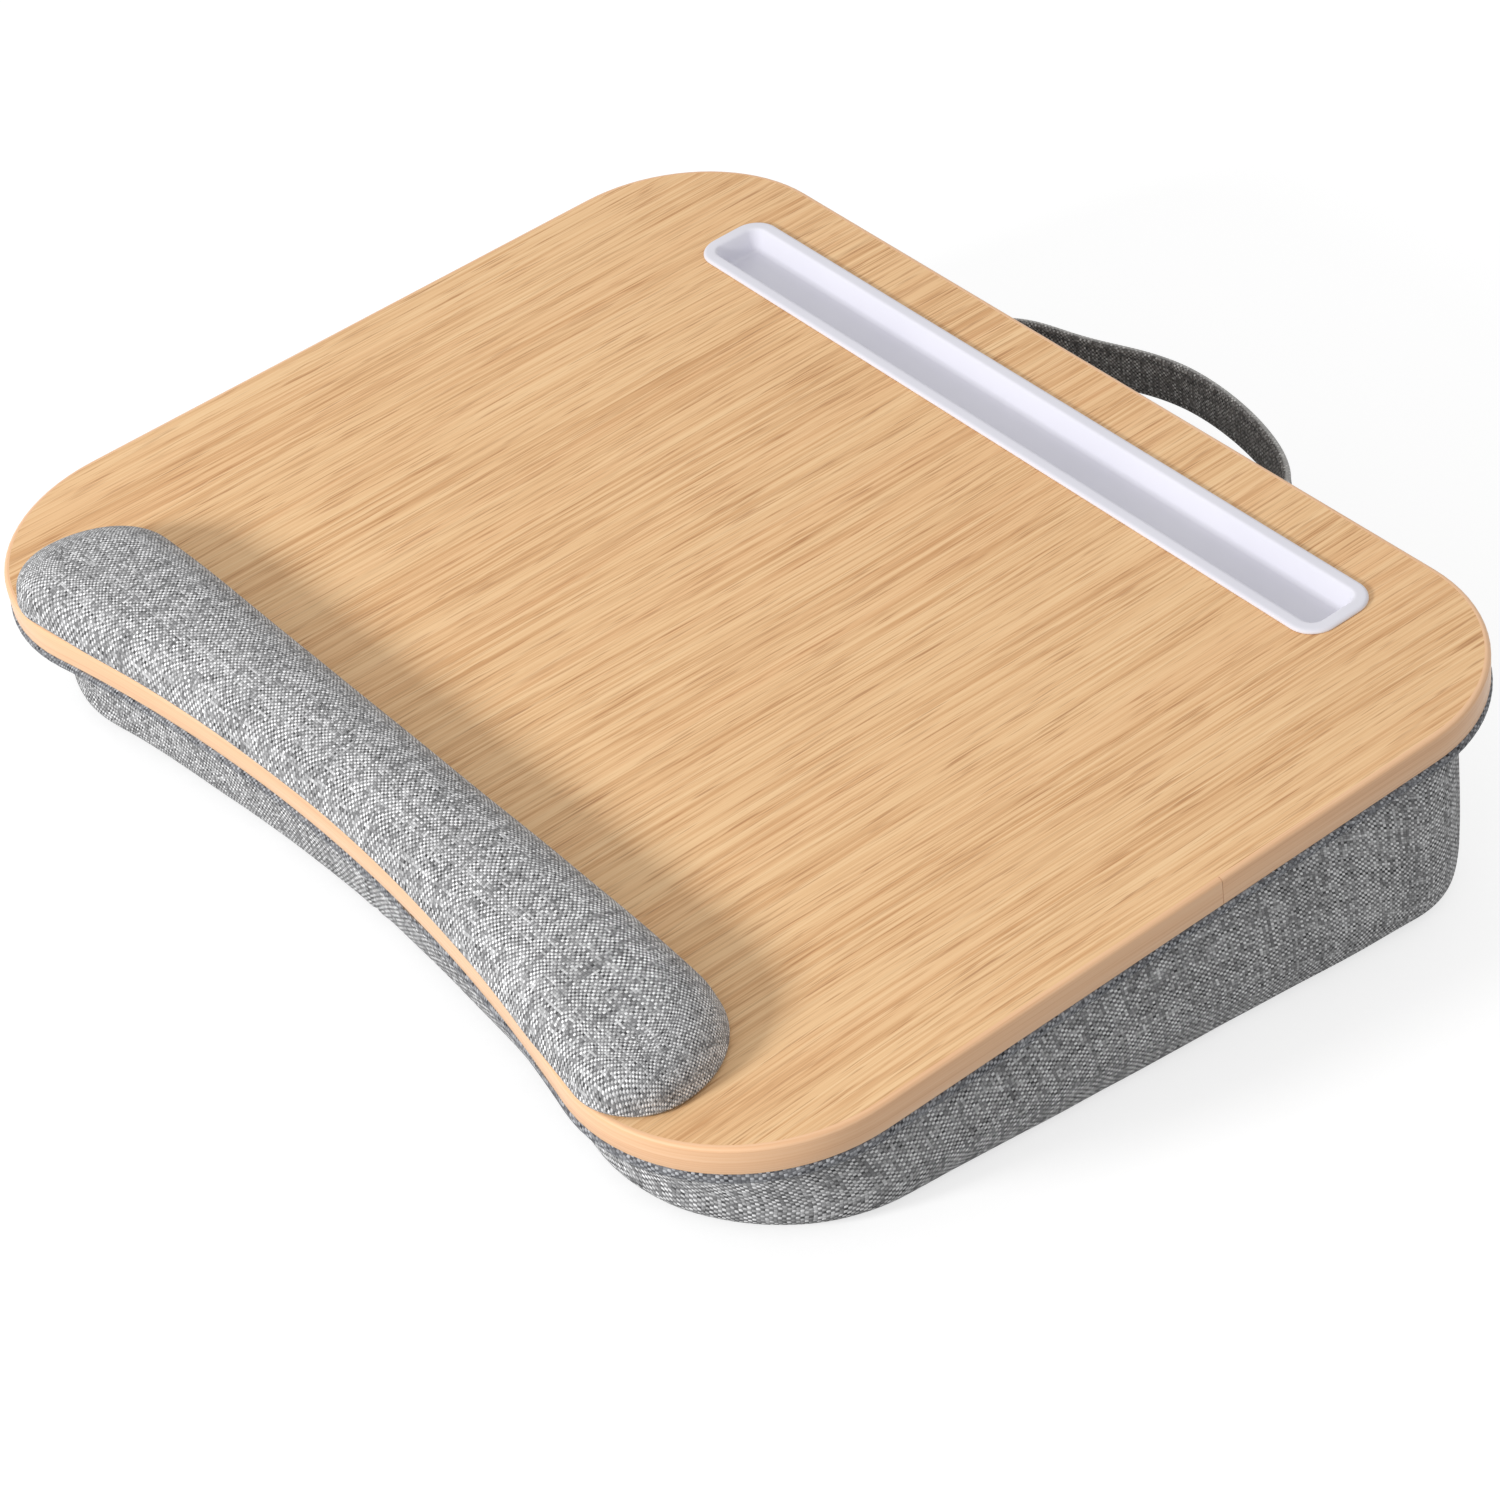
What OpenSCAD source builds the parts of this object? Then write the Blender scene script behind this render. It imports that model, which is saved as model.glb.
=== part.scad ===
// Lap desk: a wooden board with a wrist rest and a phone slot, on a soft wedge cushion with a strap handle.
// Origin on the table under the middle of the board, +X right, +Y to the back, +Z up, in millimetres.

/* [Board] */
// Width of the board, left to right
board_w = 430; // [380:5:480]
// Depth of the board along its face, front to back
board_d = 332; // [300:2:380]
// Radius of the two back corners
back_corner_r = 57; // [30:1:80]
// Radius of the two front corners
front_corner_r = 61; // [40:1:80]
// How far the front edge is drawn in at its middle
front_sag = 16.3; // [8:0.1:24]
// Slope of the board in degrees, higher at the back
tilt = 8.2; // [4:0.1:12]
// Height of the middle of the board's face above the table
deck_h = 68.3; // [60:0.1:90]
// Thickness of the fibreboard core
core_t = 8.4; // [7.8:0.1:14]
// Thickness of the top laminate
laminate_t = 0.8; // [0.4:0.1:1.5]
// Thickness of the backing laminate
backing_t = 0.8; // [0.4:0.1:1.5]
// Thickness of the edge band
band_t = 1.8; // [1.6:0.1:3]
// Radius of the rounded arris along the band's top
arris_r = 1.5; // [0.5:0.1:1.5]
// Distance of the band's butt joint behind the board's middle
joint_y = 22; // [-40:1:60]
// Width of the band's butt joint
joint_gap = 0.15; // [0.1:0.05:0.4]

/* [Slot tray] */
// Distance of the tray's ends from the board's sides
tray_side_inset = 58; // [50:1:90]
// Width of the tray's rim, front to back
tray_w = 30; // [26:1:36]
// Distance of the tray's rim from the board's back edge
tray_back_inset = 22; // [18:1:40]
// Width of the flat rim round the trough
rim_w = 5; // [4:0.5:7]
// Height of the rim above the board
rim_h = 1.4; // [1:0.1:2.5]
// Depth of the trough below the board's face
trough_depth = 7.2; // [5:0.1:7.4]
// Wall of the tray
tray_wall = 1.2; // [0.8:0.1:1.4]
// Radius of the rim's corners
rim_corner_r = 9.5; // [7:0.5:12]
// How far each trough wall leans in from rim to floor
trough_draft = 2; // [0.5:0.1:3]
// Gap between the tray and its cut-out
tray_gap = 0.6; // [0.3:0.1:1.5]

/* [Wrist rest] */
// Distance of the wrist rest's ends from the board's sides
rest_side_inset = 38.5; // [34:0.5:60]
// Depth of the wrist rest at its middle, front to back
rest_d = 36.2; // [34:0.2:48]
// Gap between its front edge and the board's front edge
rest_gap = 1; // [0.5:0.5:6]
// Radius of its back corners
rest_back_r = 32; // [26:1:33]
// Radius of its front corners
rest_front_r = 21; // [20:1:24]
// Height of its crown above the board
rest_h = 20; // [14:0.5:26]
// Height at which its sides stand furthest out
rest_belly_h = 3.5; // [2:0.5:5]
// How far its foot is tucked in under the sides
rest_tuck = 0.9; // [0.3:0.1:1.5]
// How far the crown runs in from the edge
crown_run = 17; // [12:0.5:17]
// Fullness of the crown, 2 for an ellipse and more for a squarer shoulder
crown_power = 2.3; // [2:0.1:3.5]
// Share of the crown's height that it loses towards the ends
end_drop = 0.28; // [0:0.01:0.4]
// Length over which each end drops
end_run = 62; // [30:1:100]
// Thickness of the wrist rest's cloth
rest_cloth_t = 1.2; // [0.8:0.1:2]
// Thickness of its base strip
rest_base_t = 2; // [1:0.1:3]
// Thickness of the mounting tape
tape_t = 0.5; // [0.2:0.1:1]

/* [Panel] */
// Thickness of the hardboard panel
panel_t = 3; // [2.5:0.1:5]
// Thickness of the cloth wrapped round it
wrap_t = 0.6; // [0.4:0.1:1]
// Width of the cloth folded over the panel's top
wrap_fold = 20; // [12:1:30]
// How far the covered panel stands out past the board
panel_proud = 0.4; // [0:0.1:1]
// Radius of a screw's shank
screw_r = 1.6; // [1.2:0.1:2]
// Radius of a screw's countersunk head
screw_head_r = 3.4; // [2.8:0.1:4]
// Height of a screw's head
screw_head_h = 2; // [1.5:0.1:2.5]
// Depth a screw runs into the core
screw_bite = 5; // [4:0.5:6]
// Distance of the outer screws from the board's sides
screw_side_inset = 65; // [50:1:110]
// Distance of the screw rows from the board's front and back
screw_end_inset = 70; // [62:1:100]

/* [Cushion] */
// Inset of the cushion's top edge from the board's edge
cushion_top_inset = 10; // [6:0.5:16]
// Inset of its foot at the left and right
foot_side_inset = 7; // [4:0.5:20]
// Inset of its foot at the front
foot_front_inset = 9; // [4:0.5:20]
// Inset of its foot at the back
foot_back_inset = 13; // [4:0.5:20]
// Radius of the foot's back corners
foot_back_r = 46; // [36:1:70]
// Radius of the foot's front corners
foot_front_r = 61; // [40:1:75]
// How far the foot's front edge is drawn in at its middle
foot_sag = 13.6; // [6:0.1:22]
// Radius of the soft lower edge
foot_round = 12; // [6:0.5:14]
// How far the side wall swells at half height
wall_swell = 1.6; // [0:0.1:4]
// Thickness of the gusset's padded cloth
gusset_t = 1.6; // [1:0.1:2.5]
// Thickness of the bottom cloth
bottom_t = 1.6; // [1:0.1:2.5]
// Slack between soft pieces
soft_gap = 0.1; // [0.05:0.05:0.3]
// Height of the gusset's lower edge above the table
foot_lift = 0.3; // [0.2:0.1:0.6]
// Width of the sewn seams
seam_w = 0.9; // [0.6:0.1:1.5]
// Distance of the front seam right of the middle
front_seam_x = 0; // [-60:1:60]
// Length of one stitch
stitch_l = 3.2; // [2:0.1:5]
// Radius of the sewing thread
thread_r = 0.35; // [0.2:0.05:0.5]

/* [Handle] */
// Width of the strap, which stands upright
strap_w = 18; // [17:1:26]
// Thickness of the covered strap
strap_t = 3.2; // [2.6:0.1:5]
// Width of the webbing inside the strap
webbing_w = 15; // [10:1:15]
// Thickness of that webbing
webbing_t = 1.4; // [0.8:0.1:2]
// Distance between the middles of the strap's two legs
strap_span = 156; // [120:1:200]
// How far the strap reaches behind the board's edge
strap_reach = 40.5; // [34:0.5:60]
// Fullness of the strap's bow along its span, 2 for an ellipse and less for a pointed middle
bow_span_power = 1.8; // [1.6:0.1:4]
// Fullness of its bow along its reach, 2 for an ellipse and more for squarer shoulders
bow_reach_power = 3.1; // [2.5:0.1:5]
// Depth of the strap's middle below the board's face
strap_drop = 31.5; // [30:0.5:40]
// Width of each sewn end patch
patch_w = 18; // [12:1:26]
// Height of a bar tack
tack_h = 14; // [8:1:16]
// Width of a bar tack
tack_w = 1.2; // [0.8:0.1:2]
// Thickness of each sewn end patch
patch_t = 2.2; // [1.5:0.1:3]
// Running gap between a leg and its patch
hinge_gap = 0.35; // [0.3:0.05:0.8]

/* [Hidden] */

wood = [0.87, 0.70, 0.50];
wood_edge = [0.93, 0.76, 0.58];
board_brown = [0.60, 0.47, 0.34];
white = [0.96, 0.96, 0.97];
linen = [0.62, 0.63, 0.65];
dark_linen = [0.30, 0.30, 0.30];
foam_cream = [0.90, 0.88, 0.80];
steel = [0.75, 0.75, 0.78];

board_t = laminate_t + core_t + backing_t;
fold_z = -board_t - wrap_t;
panel_z = fold_z - panel_t;
under_z = panel_z - wrap_t;
hard_steps = 16;
soft_steps = 8;
edge_steps = 10;
step_eps = 0.01;

board_hollow = hollow(board_w, board_d, front_corner_r, front_sag);
tray_l = board_w - 2 * tray_side_inset;
tray_y = board_d / 2 - tray_back_inset - tray_w / 2;
rest_l = board_w - 2 * rest_side_inset;
rest_hollow = [board_hollow[0], board_hollow[1] + rest_gap];
rest_back_y = rest_hollow[0] + rest_hollow[1] + rest_d;
screw_x = board_w / 2 - screw_side_inset;
screw_y = board_d / 2 - screw_end_inset;
foot_w = board_w - 2 * foot_side_inset;
foot_d = (board_d - foot_front_inset - foot_back_inset) / cos(tilt);
foot_y = deck_h * tan(tilt) + (foot_front_inset - foot_back_inset) / (2 * cos(tilt));
foot_hollow = hollow(foot_w, foot_d, foot_front_r, foot_sag);
round_angles = [90, 60, 30];
wall_shares = [1, 0.75, 0.5, 0.25, 0];
seam_drop = 2 * seam_w + soft_gap;

crown_steps = 5;
crown_base_z = tape_t + rest_base_t;
cutout_l = tray_l - 2 * rim_w + 2 * (tray_wall + tray_gap);
cutout_w = tray_w - 2 * rim_w + 2 * (tray_wall + tray_gap);
trough_r = rim_corner_r - rim_w;

screw_gap = 0.05;
screw_places = [for (x = [-screw_x, 0, screw_x], y = [-screw_y, screw_y]) [x, y]];
screw_tip_z = -laminate_t - core_t + screw_bite;

patch_low = back_wall(strap_drop + strap_w / 2);
patch_high = back_wall(strap_drop - strap_w / 2);
patch_lean = atan2(patch_low.x - patch_high.x, patch_high.y - patch_low.y);
patch_face_y = (patch_low.x + patch_high.x) / 2 + patch_t + 2 * soft_gap;
patch_high_y = patch_face_y + abs(patch_low.x - patch_high.x) / 2;
strap_axis_y = patch_high_y + thread_r + hinge_gap + strap_w / 2;
strap_start_y = strap_axis_y - strap_w / 2;
strap_back_y = board_d / 2 + strap_reach;
strap_depth = strap_back_y - strap_t / 2 - strap_start_y;
strap_steps = 36;
tack_x = patch_w / 4;

// Centre and radius of the circle that hollows the front edge, as [y, radius]
function hollow(w, d, corner_r, sag) =
    let (a = w / 2 - corner_r, r = (a * a + sag * sag) / (2 * sag) - corner_r)
    [sag - d / 2 - r, r];

function arc(centre, r, from, to, steps) =
    [for (i = [0:steps]) let (a = from + (to - from) * i / steps) centre + r * [cos(a), sin(a)]];

// Outline with round corners and a hollow front, clockwise from the left end of the back.
// Its first half is the back and its second half the front, point against point.
function outline(half_w, back_y, back_r, front_r, hole, cut, steps) =
    let (
        bx = half_w - back_r,
        fx = half_w - front_r,
        fy = hole[0] + sqrt(pow(hole[1] + front_r, 2) - fx * fx),
        swing = atan2(fy - hole[0], fx),
        back_edge = back_y - cut
    )
    concat(
        arc([-bx, back_y - back_r], back_r - cut, 180, 90, steps),
        [for (i = [1:edge_steps - 1]) [bx * (2 * i / edge_steps - 1), back_edge]],
        arc([bx, back_y - back_r], back_r - cut, 90, 0, steps),
        arc([fx, fy], front_r - cut, 0, swing - 180, steps),
        [for (i = [1:edge_steps - 1])
            let (a = swing + (180 - 2 * swing) * i / edge_steps)
            [0, hole[0]] + (hole[1] + cut) * [cos(a), sin(a)]],
        arc([-fx, fy], front_r - cut, -swing, -180, steps)
    );

function board_outline(cut, steps = hard_steps) =
    outline(board_w / 2, board_d / 2, back_corner_r, front_corner_r, board_hollow, cut, steps);

function foot_outline(cut, steps = soft_steps) =
    outline(foot_w / 2, foot_d / 2, foot_back_r, foot_front_r, foot_hollow, cut, steps);

function rest_outline(cut) =
    outline(rest_l / 2, rest_back_y, rest_back_r, rest_front_r, rest_hollow, cut, soft_steps);

// A point of the board's own frame, whose origin is the middle of the board's face
function on_board(p) =
    [p.x, p.y * cos(tilt) - p.z * sin(tilt), p.y * sin(tilt) + p.z * cos(tilt) + deck_h];

function off_board(y, z) =
    [y * cos(tilt) + (z - deck_h) * sin(tilt), (z - deck_h) * cos(tilt) - y * sin(tilt)];

function raised(points, z) = [for (p = points) [p.x, p.y, z]];

function head_ring(cut) =
    [for (p = board_outline(cushion_top_inset + cut, soft_steps)) on_board([p.x, p.y, under_z])];

function foot_ring(cut, z) = [for (p = foot_outline(cut)) [p.x, p.y + foot_y, z]];

function swell(share) = wall_swell * 4 * share * (1 - share);

// Ring of the cushion's side, from share 0 at the panel to 1 above the soft lower edge
function wall_ring(share, skin) =
    let (head = head_ring(skin - swell(share)), foot = foot_ring(skin - swell(share), foot_round))
    [for (i = [0:len(head) - 1]) head[i] * (1 - share) + foot[i] * share];

// Ring at a distance down the cushion's side from the panel
function seam_ring(drop, skin) =
    let (top = wall_ring(wall_shares[4], skin), low = wall_ring(wall_shares[3], skin))
    [for (i = [0:len(top) - 1]) top[i] + (low[i] - top[i]) * drop / norm(low[i] - top[i])];

function round_ring(angle, skin, lift) =
    foot_ring(skin + (foot_round - skin) * (1 - cos(angle)),
        foot_round - (foot_round - skin - lift) * sin(angle));

function cushion_rings(skin, lift) = concat(
    [for (a = round_angles) round_ring(a, skin, lift)],
    [for (s = wall_shares) wall_ring(s, skin)]
);

// Back wall of the cushion at a depth below the board's face, as [y, z] in the board's frame
function back_wall(depth) =
    let (
        head_y = board_d / 2 - cushion_top_inset,
        foot = off_board(foot_y + foot_d / 2, foot_round),
        share = (-depth - under_z) / (foot.y - under_z)
    )
    [head_y * (1 - share) + foot.x * share + swell(share), -depth];

// Front wall of the cushion at a share of its height, in the part's frame
function front_wall(x, share) =
    let (
        head = on_board([x, board_hollow[0] + sqrt(pow(board_hollow[1] + cushion_top_inset, 2) - x * x),
            under_z]),
        foot = [x, foot_y + foot_hollow[0] + sqrt(pow(foot_hollow[1], 2) - x * x), foot_round]
    )
    head * (1 - share) + foot * share - [0, swell(share), 0];

function end_share(x) =
    1 - end_drop * pow(max(0, (abs(x) - rest_l / 2 + end_run) / end_run), 2);

function crown_ring(step, skin) =
    let (a = 90 * step / crown_steps, p = 2 / crown_power,
        run = (crown_run - skin) * (1 - pow(cos(a), p)) + skin,
        rise = (rest_h - rest_belly_h - skin) * pow(sin(a), p))
    [for (q = rest_outline(run)) [q.x, q.y, rest_belly_h + rise * end_share(q.x)]];

function crown_rings(skin) = [for (k = [0:crown_steps]) crown_ring(k, skin)];

function reversed(list) = [for (i = [len(list) - 1:-1:0]) list[i]];

function loop_point(i) =
    let (a = 180 * i / strap_steps, c = cos(a))
    [-sign(c) * strap_span / 2 * pow(abs(c), 2 / bow_span_power),
        strap_start_y + strap_depth * pow(sin(a), 2 / bow_reach_power)];

// One edge of a flat band laid along the strap's loop, whose legs start a little early
function loop_edge(offset, early) =
    let (edge = [for (i = [0:strap_steps])
        let (
            before = loop_point(max(i - 1, 0)),
            after = loop_point(min(i + 1, strap_steps)),
            d = (after - before) / norm(after - before),
            flat = i == 0 ? [0, 1] : i == strap_steps ? [0, -1] : d
        )
        loop_point(i) + offset * [-flat.y, flat.x]])
    concat([edge[0] - [0, early]], edge, [edge[strap_steps] - [0, early]]);

// Two triangles between neighbours a and b of one ring and d and c of the next, split from a to c if it rises
function quad(a, b, c, d, rises) = rises ? [[a, b, c], [a, c, d]] : [[a, b, d], [b, c, d]];

// Solid skinned over rings of one count, each half back and half front, with a strip across each end.
// The first few rings may fall before the others rise.
module skin_solid(rings, falling = 0) {
    n = len(rings[0]);
    last = (len(rings) - 1) * n;
    sides = [for (k = [0:len(rings) - 2], i = [0:n - 1])
        let (a = k * n + i, b = k * n + (i + 1) % n) each quad(a, b, b + n, a + n, k >= falling)];
    first_end = [for (i = [0:n / 2 - 2]) each [[i, n - 2 - i, i + 1], [i, n - 1 - i, n - 2 - i]]];
    last_end = [for (i = [0:n / 2 - 2])
        each [[last + i, last + i + 1, last + n - 2 - i], [last + i, last + n - 2 - i, last + n - 1 - i]]];
    polyhedron([for (r = rings) each r], concat(sides, first_end, last_end));
}

// Ring-shaped solid skinned over rings that close on themselves, of which the first few rise
module skin_loop(rings, rising) {
    n = len(rings[0]);
    m = len(rings);
    polyhedron([for (r = rings) each r],
        [for (k = [0:m - 1], i = [0:n - 1])
            let (a = k * n + i, b = k * n + (i + 1) % n, c = (k + 1) % m * n + (i + 1) % n,
                d = (k + 1) % m * n + i)
            each quad(a, b, c, d, k < rising)]);
}

module on_deck() {
    translate([0, 0, deck_h]) rotate([tilt, 0, 0]) children();
}

module slab(points, low, high) {
    translate([0, 0, low]) linear_extrude(height = high - low) polygon(points);
}

module round_bar(l, w, r, low, high) {
    translate([0, tray_y, low]) linear_extrude(height = high - low) hull()
        for (x = [-1, 1], y = [-1, 1])
            translate([x * (l / 2 - r), y * (w / 2 - r)]) circle(r = r, $fn = 32);
}

module tray_cutout(low, high) {
    round_bar(cutout_l, cutout_w, trough_r + tray_wall + tray_gap, low, high);
}

module at_screws() {
    for (p = screw_places) translate([p.x, p.y, 0]) children();
}

module pin_hole(r, low, high) {
    translate([0, 0, low]) cylinder(r = r, h = high - low, $fn = 32);
}

module board_core() {
    color(board_brown) on_deck() difference() {
        slab(board_outline(band_t), -laminate_t - core_t, -laminate_t);
        tray_cutout(-board_t, 0);
        at_screws() pin_hole(screw_r + screw_gap, -board_t, screw_tip_z + screw_gap);
    }
}

module top_laminate() {
    color(wood) on_deck() difference() {
        slab(board_outline(band_t), -laminate_t, 0);
        tray_cutout(-board_t, rim_h);
    }
}

module backing_laminate() {
    color(board_brown) on_deck() difference() {
        slab(board_outline(band_t), -board_t, -laminate_t - core_t);
        at_screws() pin_hole(screw_r + screw_gap, -board_t - rim_h, 0);
    }
}

module edge_band() {
    color(wood_edge) on_deck() difference() {
        skin_loop(concat(
            [raised(board_outline(0), -board_t)],
            [for (a = [0, 30, 60, 90])
                raised(board_outline(arris_r * (1 - cos(a))), arris_r * (sin(a) - 1))],
            [raised(board_outline(band_t), 0), raised(board_outline(band_t), -board_t)]
        ), 4);
        translate([board_w / 2 - band_t - rim_h, joint_y - joint_gap / 2, -board_t - rim_h])
            cube([band_t + 2 * rim_h, joint_gap, board_t + 2 * rim_h]);
    }
}

module tray_level(inset, low, high) {
    r = max(rim_corner_r - inset, 1);
    round_bar(tray_l - 2 * inset, tray_w - 2 * inset, r, low, high);
}

module slot_tray() {
    outer = rim_w - tray_wall;
    floor_z = -trough_depth;
    color(white) on_deck() difference() {
        union() {
            hull() {
                tray_level(0, 0, rim_h / 2);
                tray_level(rim_h / 2, 0, rim_h);
            }
            hull() {
                tray_level(outer, -step_eps, rim_h / 2);
                tray_level(outer + trough_draft, floor_z - tray_wall, floor_z);
            }
        }
        hull() {
            tray_level(rim_w - tray_wall / 2, rim_h, 2 * rim_h);
            tray_level(rim_w, rim_h / 2, rim_h);
            tray_level(rim_w + trough_draft, floor_z + tray_wall, 0);
            tray_level(rim_w + trough_draft + tray_wall, floor_z, 0);
        }
    }
}

module wrist_tape() {
    color(white) on_deck() slab(rest_outline(rest_tuck + rest_cloth_t + rest_base_t), 0, tape_t);
}

module wrist_base() {
    color(board_brown) on_deck() slab(rest_outline(rest_tuck + rest_cloth_t + 2 * soft_gap), tape_t, crown_base_z);
}

module wrist_foam() {
    skin = rest_cloth_t + soft_gap;
    color(foam_cream) on_deck()
        skin_solid(concat([raised(rest_outline(rest_tuck + skin), crown_base_z)], crown_rings(skin)));
}

module wrist_cover() {
    color(linen) on_deck() skin_solid(concat(
        reversed(crown_rings(rest_cloth_t)),
        [raised(rest_outline(rest_tuck + rest_cloth_t), soft_gap), raised(rest_outline(rest_tuck), soft_gap)],
        crown_rings(0)
    ), crown_steps + 1);
}

module backer_panel() {
    color(board_brown) on_deck() difference() {
        slab(board_outline(wrap_t - panel_proud), panel_z, fold_z);
        at_screws() {
            pin_hole(screw_r + screw_gap, panel_z - rim_h, 0);
            translate([0, 0, under_z]) cylinder(r1 = screw_head_r + screw_gap, r2 = screw_r + screw_gap,
                h = screw_head_h, $fn = 32);
        }
    }
}

module panel_fabric() {
    color(linen) on_deck() difference() {
        slab(board_outline(-panel_proud), under_z, -board_t);
        slab(board_outline(wrap_t - panel_proud), panel_z, fold_z);
        slab(board_outline(wrap_fold), fold_z - step_eps, 0);
        at_screws() pin_hole(screw_head_r + 2 * screw_gap, under_z - rim_h, panel_z + step_eps);
    }
}

module panel_screws() {
    color(steel) on_deck() at_screws() {
        translate([0, 0, under_z]) cylinder(r1 = screw_head_r, r2 = screw_r, h = screw_head_h, $fn = 32);
        pin_hole(screw_r, under_z + step_eps, screw_tip_z - screw_r);
        translate([0, 0, screw_tip_z - screw_r - step_eps])
            cylinder(r1 = screw_r, r2 = screw_r / 4, h = screw_r, $fn = 32);
    }
}

module cushion_foam() {
    color(foam_cream) skin_solid(cushion_rings(gusset_t + soft_gap, bottom_t - gusset_t));
}

module cushion_gusset() {
    outer = cushion_rings(0, foot_lift);
    color(linen) skin_loop(concat(outer, reversed(cushion_rings(gusset_t, 0))), len(outer) - 1);
}

module cushion_bottom() {
    color(dark_linen) translate([0, foot_y, 0])
        slab(foot_outline(foot_round + seam_w + 2 * soft_gap), 0, bottom_t);
}

module bottom_seam() {
    inner = foot_round + seam_w + soft_gap;
    color(dark_linen) skin_loop([
        foot_ring(inner, foot_lift), foot_ring(inner - seam_w, foot_lift),
        foot_ring(inner - seam_w, bottom_t - foot_lift), foot_ring(inner, bottom_t - foot_lift)
    ], 1);
}

module top_seam() {
    color(dark_linen) skin_loop([
        seam_ring(seam_drop, -2 * soft_gap - seam_w), seam_ring(soft_gap, -2 * soft_gap - seam_w),
        seam_ring(soft_gap, -2 * soft_gap), seam_ring(seam_drop, -2 * soft_gap)
    ], 1);
}

module gusset_seam() {
    top = front_wall(front_seam_x, 0);
    foot = front_wall(front_seam_x, 1);
    first = (seam_drop + soft_gap) / norm(foot - top);
    count = floor((1 - first) * norm(foot - top) / stitch_l);
    pitch = (1 - first) / count;
    color(dark_linen) for (k = [0:count - 1]) {
        high = front_wall(front_seam_x, first + (k + 0.25) * pitch);
        run = front_wall(front_seam_x, first + (k + 0.75) * pitch) - high;
        translate(high - [0, thread_r + soft_gap, 0])
            rotate([atan2(-run.y, run.z), 0, 0]) cylinder(r = thread_r, h = norm(run), $fn = 16);
    }
}

module at_patches() {
    for (side = [-1, 1])
        translate([side * strap_span / 2, patch_face_y, -strap_drop]) rotate([patch_lean, 0, 0]) children();
}

module strap_anchors() {
    color(dark_linen) on_deck() at_patches()
        translate([-patch_w / 2, -patch_t, -strap_w / 2]) cube([patch_w, patch_t, strap_w]);
}

module strap_tacks() {
    color(linen) on_deck() at_patches() for (side = [-1, 1])
        translate([side * tack_x - tack_w / 2, 0, -tack_h / 2]) cube([tack_w, thread_r, tack_h]);
}

module loop_band(thick, width, early) {
    translate([0, 0, -width / 2]) linear_extrude(height = width)
        polygon(concat(loop_edge(thick / 2, early), reversed(loop_edge(-thick / 2, early))));
}

// Keeps the strap behind its round ends, whose middle is the line that it swings on
module round_ends() {
    long = strap_span + 2 * strap_w;
    on_deck() translate([0, 0, -strap_drop]) intersection() {
        children();
        union() {
            translate([-long / 2, strap_axis_y, -strap_w])
                cube([long, strap_depth + strap_w, 2 * strap_w]);
            translate([-long / 2, strap_axis_y, 0]) rotate([0, 90, 0])
                cylinder(r = strap_w / 2, h = long, $fn = 64);
        }
    }
}

module strap_fabric() {
    color(dark_linen) round_ends() difference() {
        loop_band(strap_t, strap_w, strap_t);
        loop_band(webbing_t + soft_gap, webbing_w + soft_gap, 2 * strap_t);
    }
}

module strap_webbing() {
    color(board_brown) round_ends() loop_band(webbing_t, webbing_w, strap_t);
}

board_core();
top_laminate();
backing_laminate();
edge_band();
slot_tray();
wrist_tape();
wrist_base();
wrist_foam();
wrist_cover();
backer_panel();
panel_fabric();
panel_screws();
cushion_foam();
cushion_gusset();
cushion_bottom();
top_seam();
bottom_seam();
gusset_seam();
strap_anchors();
strap_tacks();
strap_fabric();
strap_webbing();
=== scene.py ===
import math

import bmesh
import bpy
import numpy as np
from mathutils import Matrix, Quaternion, Vector, noise


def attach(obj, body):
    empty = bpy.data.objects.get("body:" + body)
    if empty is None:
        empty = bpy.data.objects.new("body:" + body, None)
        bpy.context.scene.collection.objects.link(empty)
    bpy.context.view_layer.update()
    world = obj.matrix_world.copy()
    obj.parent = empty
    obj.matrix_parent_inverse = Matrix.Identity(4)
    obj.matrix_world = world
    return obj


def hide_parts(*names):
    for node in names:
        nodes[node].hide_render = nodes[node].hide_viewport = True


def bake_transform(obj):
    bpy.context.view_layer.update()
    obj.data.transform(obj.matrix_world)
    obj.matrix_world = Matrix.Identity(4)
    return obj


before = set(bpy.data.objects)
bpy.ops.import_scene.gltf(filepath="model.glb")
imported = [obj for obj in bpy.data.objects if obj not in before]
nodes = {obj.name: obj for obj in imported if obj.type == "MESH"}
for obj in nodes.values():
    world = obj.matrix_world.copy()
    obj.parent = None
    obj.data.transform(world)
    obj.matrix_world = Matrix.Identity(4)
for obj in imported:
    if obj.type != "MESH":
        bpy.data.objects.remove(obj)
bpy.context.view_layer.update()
mm = 0.001


def placed(name, data):
    obj = bpy.data.objects.new(name, data)
    bpy.context.scene.collection.objects.link(obj)
    return obj


camera = {
    "place": (0.8730, -0.6587, 0.7941),  # metres
    "target": (0.0, 0.0157, -0.0013),
    "roll": -0.38,
    "lens": 98.2,
}


def makeCamera():
    data = bpy.data.cameras.new("camera")
    data.lens, data.sensor_width = camera["lens"], 36
    data.clip_start, data.clip_end = 0.05, 20
    eye = placed("camera", data)
    eye.location = camera["place"]
    eye.rotation_mode = "QUATERNION"
    aim = (Vector(camera["target"]) - Vector(camera["place"])).to_track_quat("-Z", "Y")
    eye.rotation_quaternion = aim @ Quaternion((0, 0, 1), math.radians(camera["roll"]))
    bpy.context.scene.camera = eye


makeCamera()
print("camera placed")


def srgb(r, g, b):
    return tuple(((c / 255 + 0.055) / 1.055) ** 2.4 for c in (r, g, b)) + (1.0,)


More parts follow.
